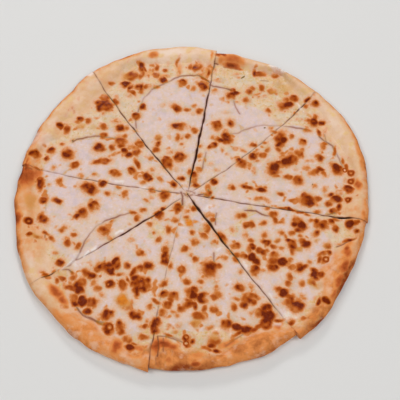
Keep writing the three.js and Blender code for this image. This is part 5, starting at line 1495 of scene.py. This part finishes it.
class PIZZA_OT_cheese(bpy.types.Operator):
    """Builds the eight sheets of melted cheese with their blisters"""

    bl_idname = "pizza.cheese"
    bl_label = "Melted cheese"

    def execute(self, context):
        make_slices(context, "melted_cheese", CHEESE_GLOSS, "cheese", make_cheese)
        return {"FINISHED"}


class PIZZA_OT_herbs(bpy.types.Operator):
    """Scatters the few dried herb flecks on the cheese"""

    bl_idname = "pizza.herbs"
    bl_label = "Herb flecks"

    def execute(self, context):
        tops = [o for o in bpy.data.objects if o.name.startswith("melted_cheese_")]
        if not tops:
            raise RuntimeError("the herb flecks need the melted cheese first")
        points = np.concatenate([mesh_points(o.data) for o in tops])
        grids, start = [], 0
        for x, y, length, width, turn in HERB_FLECKS:
            away = np.hypot(points[:, 0] - x, points[:, 1] - y)
            nearest = np.argmin(away - TOP_PREFERENCE * points[:, 2])
            grids.append(fleck(x, y, points[nearest, 2], length, width, turn, start))
            start += len(grids[-1][0])
        spots = np.concatenate([g[0] for g in grids])
        quads = np.concatenate([g[1] for g in grids])
        made = build_mesh("herb_flecks", spots, quads, [], {})
        made.data.materials.append(herb_material(context.scene.pizza_colours))
        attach(made, "root")
        return {"FINISHED"}


def mesh_points(mesh):
    """A mesh's vertices in millimetres."""
    flat = np.zeros(len(mesh.vertices) * 3, np.float32)
    mesh.vertices.foreach_get("co", flat)
    return flat.reshape(-1, 3) / MM


def fleck(x, y, z, length, width, turn, start):
    """One curled leaf fleck: ovals along a middle line bowed and raised with the square of the
    way from its middle, whose half width follows a power of a sine from tip to tip. Returns
    its points and quads."""
    along = np.linspace(*FLECK_TIPS, FLECK_ALONG)[:, None]
    around = np.linspace(0, 2 * math.pi, FLECK_AROUND, endpoint=False)[None, :]
    half = width / 2 * np.sin(math.pi * along) ** 0.7
    bend = length * (along - 0.5) ** 2
    px = (along - 0.5) * length + 0 * around
    py = half * np.cos(around) + FLECK_BOW * bend
    pz = z + FLECK_LIFT + FLECK_THICKNESS * half * np.sin(around) + FLECK_RISE * bend
    c, s = math.cos(math.radians(turn)), math.sin(math.radians(turn))
    points = np.stack([x + px * c - py * s, y + px * s + py * c, pz], -1)
    ids = grid_ids(start, FLECK_ALONG, FLECK_AROUND)
    ring = np.concatenate([ids, ids[:, :1]], 1)
    sides = sheet_quads(ring)[:, ::-1]
    caps = []
    for line, flip in ((ids[0], -1), (ids[-1], 1)):
        half_count = FLECK_AROUND // 2
        left, right = line[:half_count], line[half_count:][::-1]
        quads = np.stack([left[:-1], left[1:], right[1:], right[:-1]], -1)
        caps.append(quads[:, ::flip])
    return points.reshape(-1, 3), np.concatenate([sides, *caps])


def add_lamp(name, place_mm, size_mm, power):
    """A round soft light that points at the pizza's middle."""
    light = bpy.data.lights.new(name, "AREA")
    light.shape = "DISK"
    light.size = size_mm * MM
    light.energy = power
    lamp = bpy.data.objects.new(name, light)
    lamp.location = Vector(place_mm) * MM
    lamp.rotation_euler = (-lamp.location).to_track_quat("-Z", "Y").to_euler()
    bpy.context.scene.collection.objects.link(lamp)


class PIZZA_OT_stage(bpy.types.Operator):
    """Lays the plain floor and sets the soft lights and the camera"""

    bl_idname = "pizza.stage"
    bl_label = "Floor, light and camera"

    def execute(self, context):
        scene, sizes = context.scene, context.scene.pizza_sizes
        signs = ((-1, -1), (1, -1), (1, 1), (-1, 1))
        corners = np.array([(x * FLOOR_HALF, y * FLOOR_HALF, -FLOOR_DROP) for x, y in signs])
        floor = build_mesh("floor", corners, np.array([[0, 1, 2, 3]]), [], {})
        floor.data.materials.append(floor_material(scene.pizza_colours))

        world = bpy.data.worlds.new("even_light")
        world.use_nodes = True
        sky = world.node_tree.nodes["Background"]
        sky.inputs["Color"].default_value = (1.0, 1.0, 1.0, 1.0)
        sky.inputs["Strength"].default_value = sizes.sky_strength
        scene.world = world

        for name, place_mm in SOFT_PLACES.items():
            add_lamp(name, place_mm, SOFT_SIZE, sizes.soft_power)
        add_lamp("front", FRONT_PLACE, SOFT_SIZE, sizes.front_power)
        add_lamp("back", BACK_PLACE, BACK_SIZE, sizes.back_power)

        rise, roll = math.radians(CAMERA_ELEVATION), math.radians(CAMERA_ROLL)
        back = Vector((0, -math.cos(rise), math.sin(rise)))
        level, up = Vector((1, 0, 0)), Vector((0, math.sin(rise), math.cos(rise)))
        right = level * math.cos(roll) + up * math.sin(roll)
        over = up * math.cos(roll) - level * math.sin(roll)
        camera = bpy.data.objects.new("camera", bpy.data.cameras.new("camera"))
        camera.data.sensor_width = SENSOR_WIDTH
        camera.data.lens = CAMERA_LENS
        turned = Matrix((right, over, back)).transposed().to_4x4()
        camera.matrix_world = Matrix.Translation(Vector(CAMERA_PLACE) * MM) @ turned
        scene.collection.objects.link(camera)
        scene.camera = camera
        scene.view_settings.view_transform = "Standard"
        return {"FINISHED"}


class PIZZA_PT_panel(bpy.types.Panel):
    """Lists the pizza's settings and pieces in the sidebar"""

    bl_idname = "PIZZA_PT_panel"
    bl_label = "Sliced Cheese Pizza"
    bl_space_type = "VIEW_3D"
    bl_region_type = "UI"
    bl_category = "Pizza"

    def draw(self, context):
        for group in (context.scene.pizza_sizes, context.scene.pizza_colours):
            box = self.layout.box()
            for key in group.__annotations__:
                box.prop(group, key)
        for operator in OPERATORS:
            self.layout.operator(operator.bl_idname)


OPERATORS = (PIZZA_OT_dough, PIZZA_OT_cheese, PIZZA_OT_herbs, PIZZA_OT_stage)
CLASSES = (PizzaSizes, PizzaColours, *OPERATORS, PIZZA_PT_panel)


def register():
    """Makes the settings, operators and panel known to Blender."""
    for cls in CLASSES:
        bpy.utils.register_class(cls)
    bpy.types.Scene.pizza_sizes = PointerProperty(type=PizzaSizes)
    bpy.types.Scene.pizza_colours = PointerProperty(type=PizzaColours)


def unregister():
    """Takes them away again."""
    del bpy.types.Scene.pizza_colours
    del bpy.types.Scene.pizza_sizes
    for cls in reversed(CLASSES):
        bpy.utils.unregister_class(cls)


def main():
    """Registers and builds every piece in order."""
    register()
    bpy.ops.pizza.dough()
    bpy.ops.pizza.cheese()
    bpy.ops.pizza.herbs()
    bpy.ops.pizza.stage()


if __name__ == "__main__":
    main()
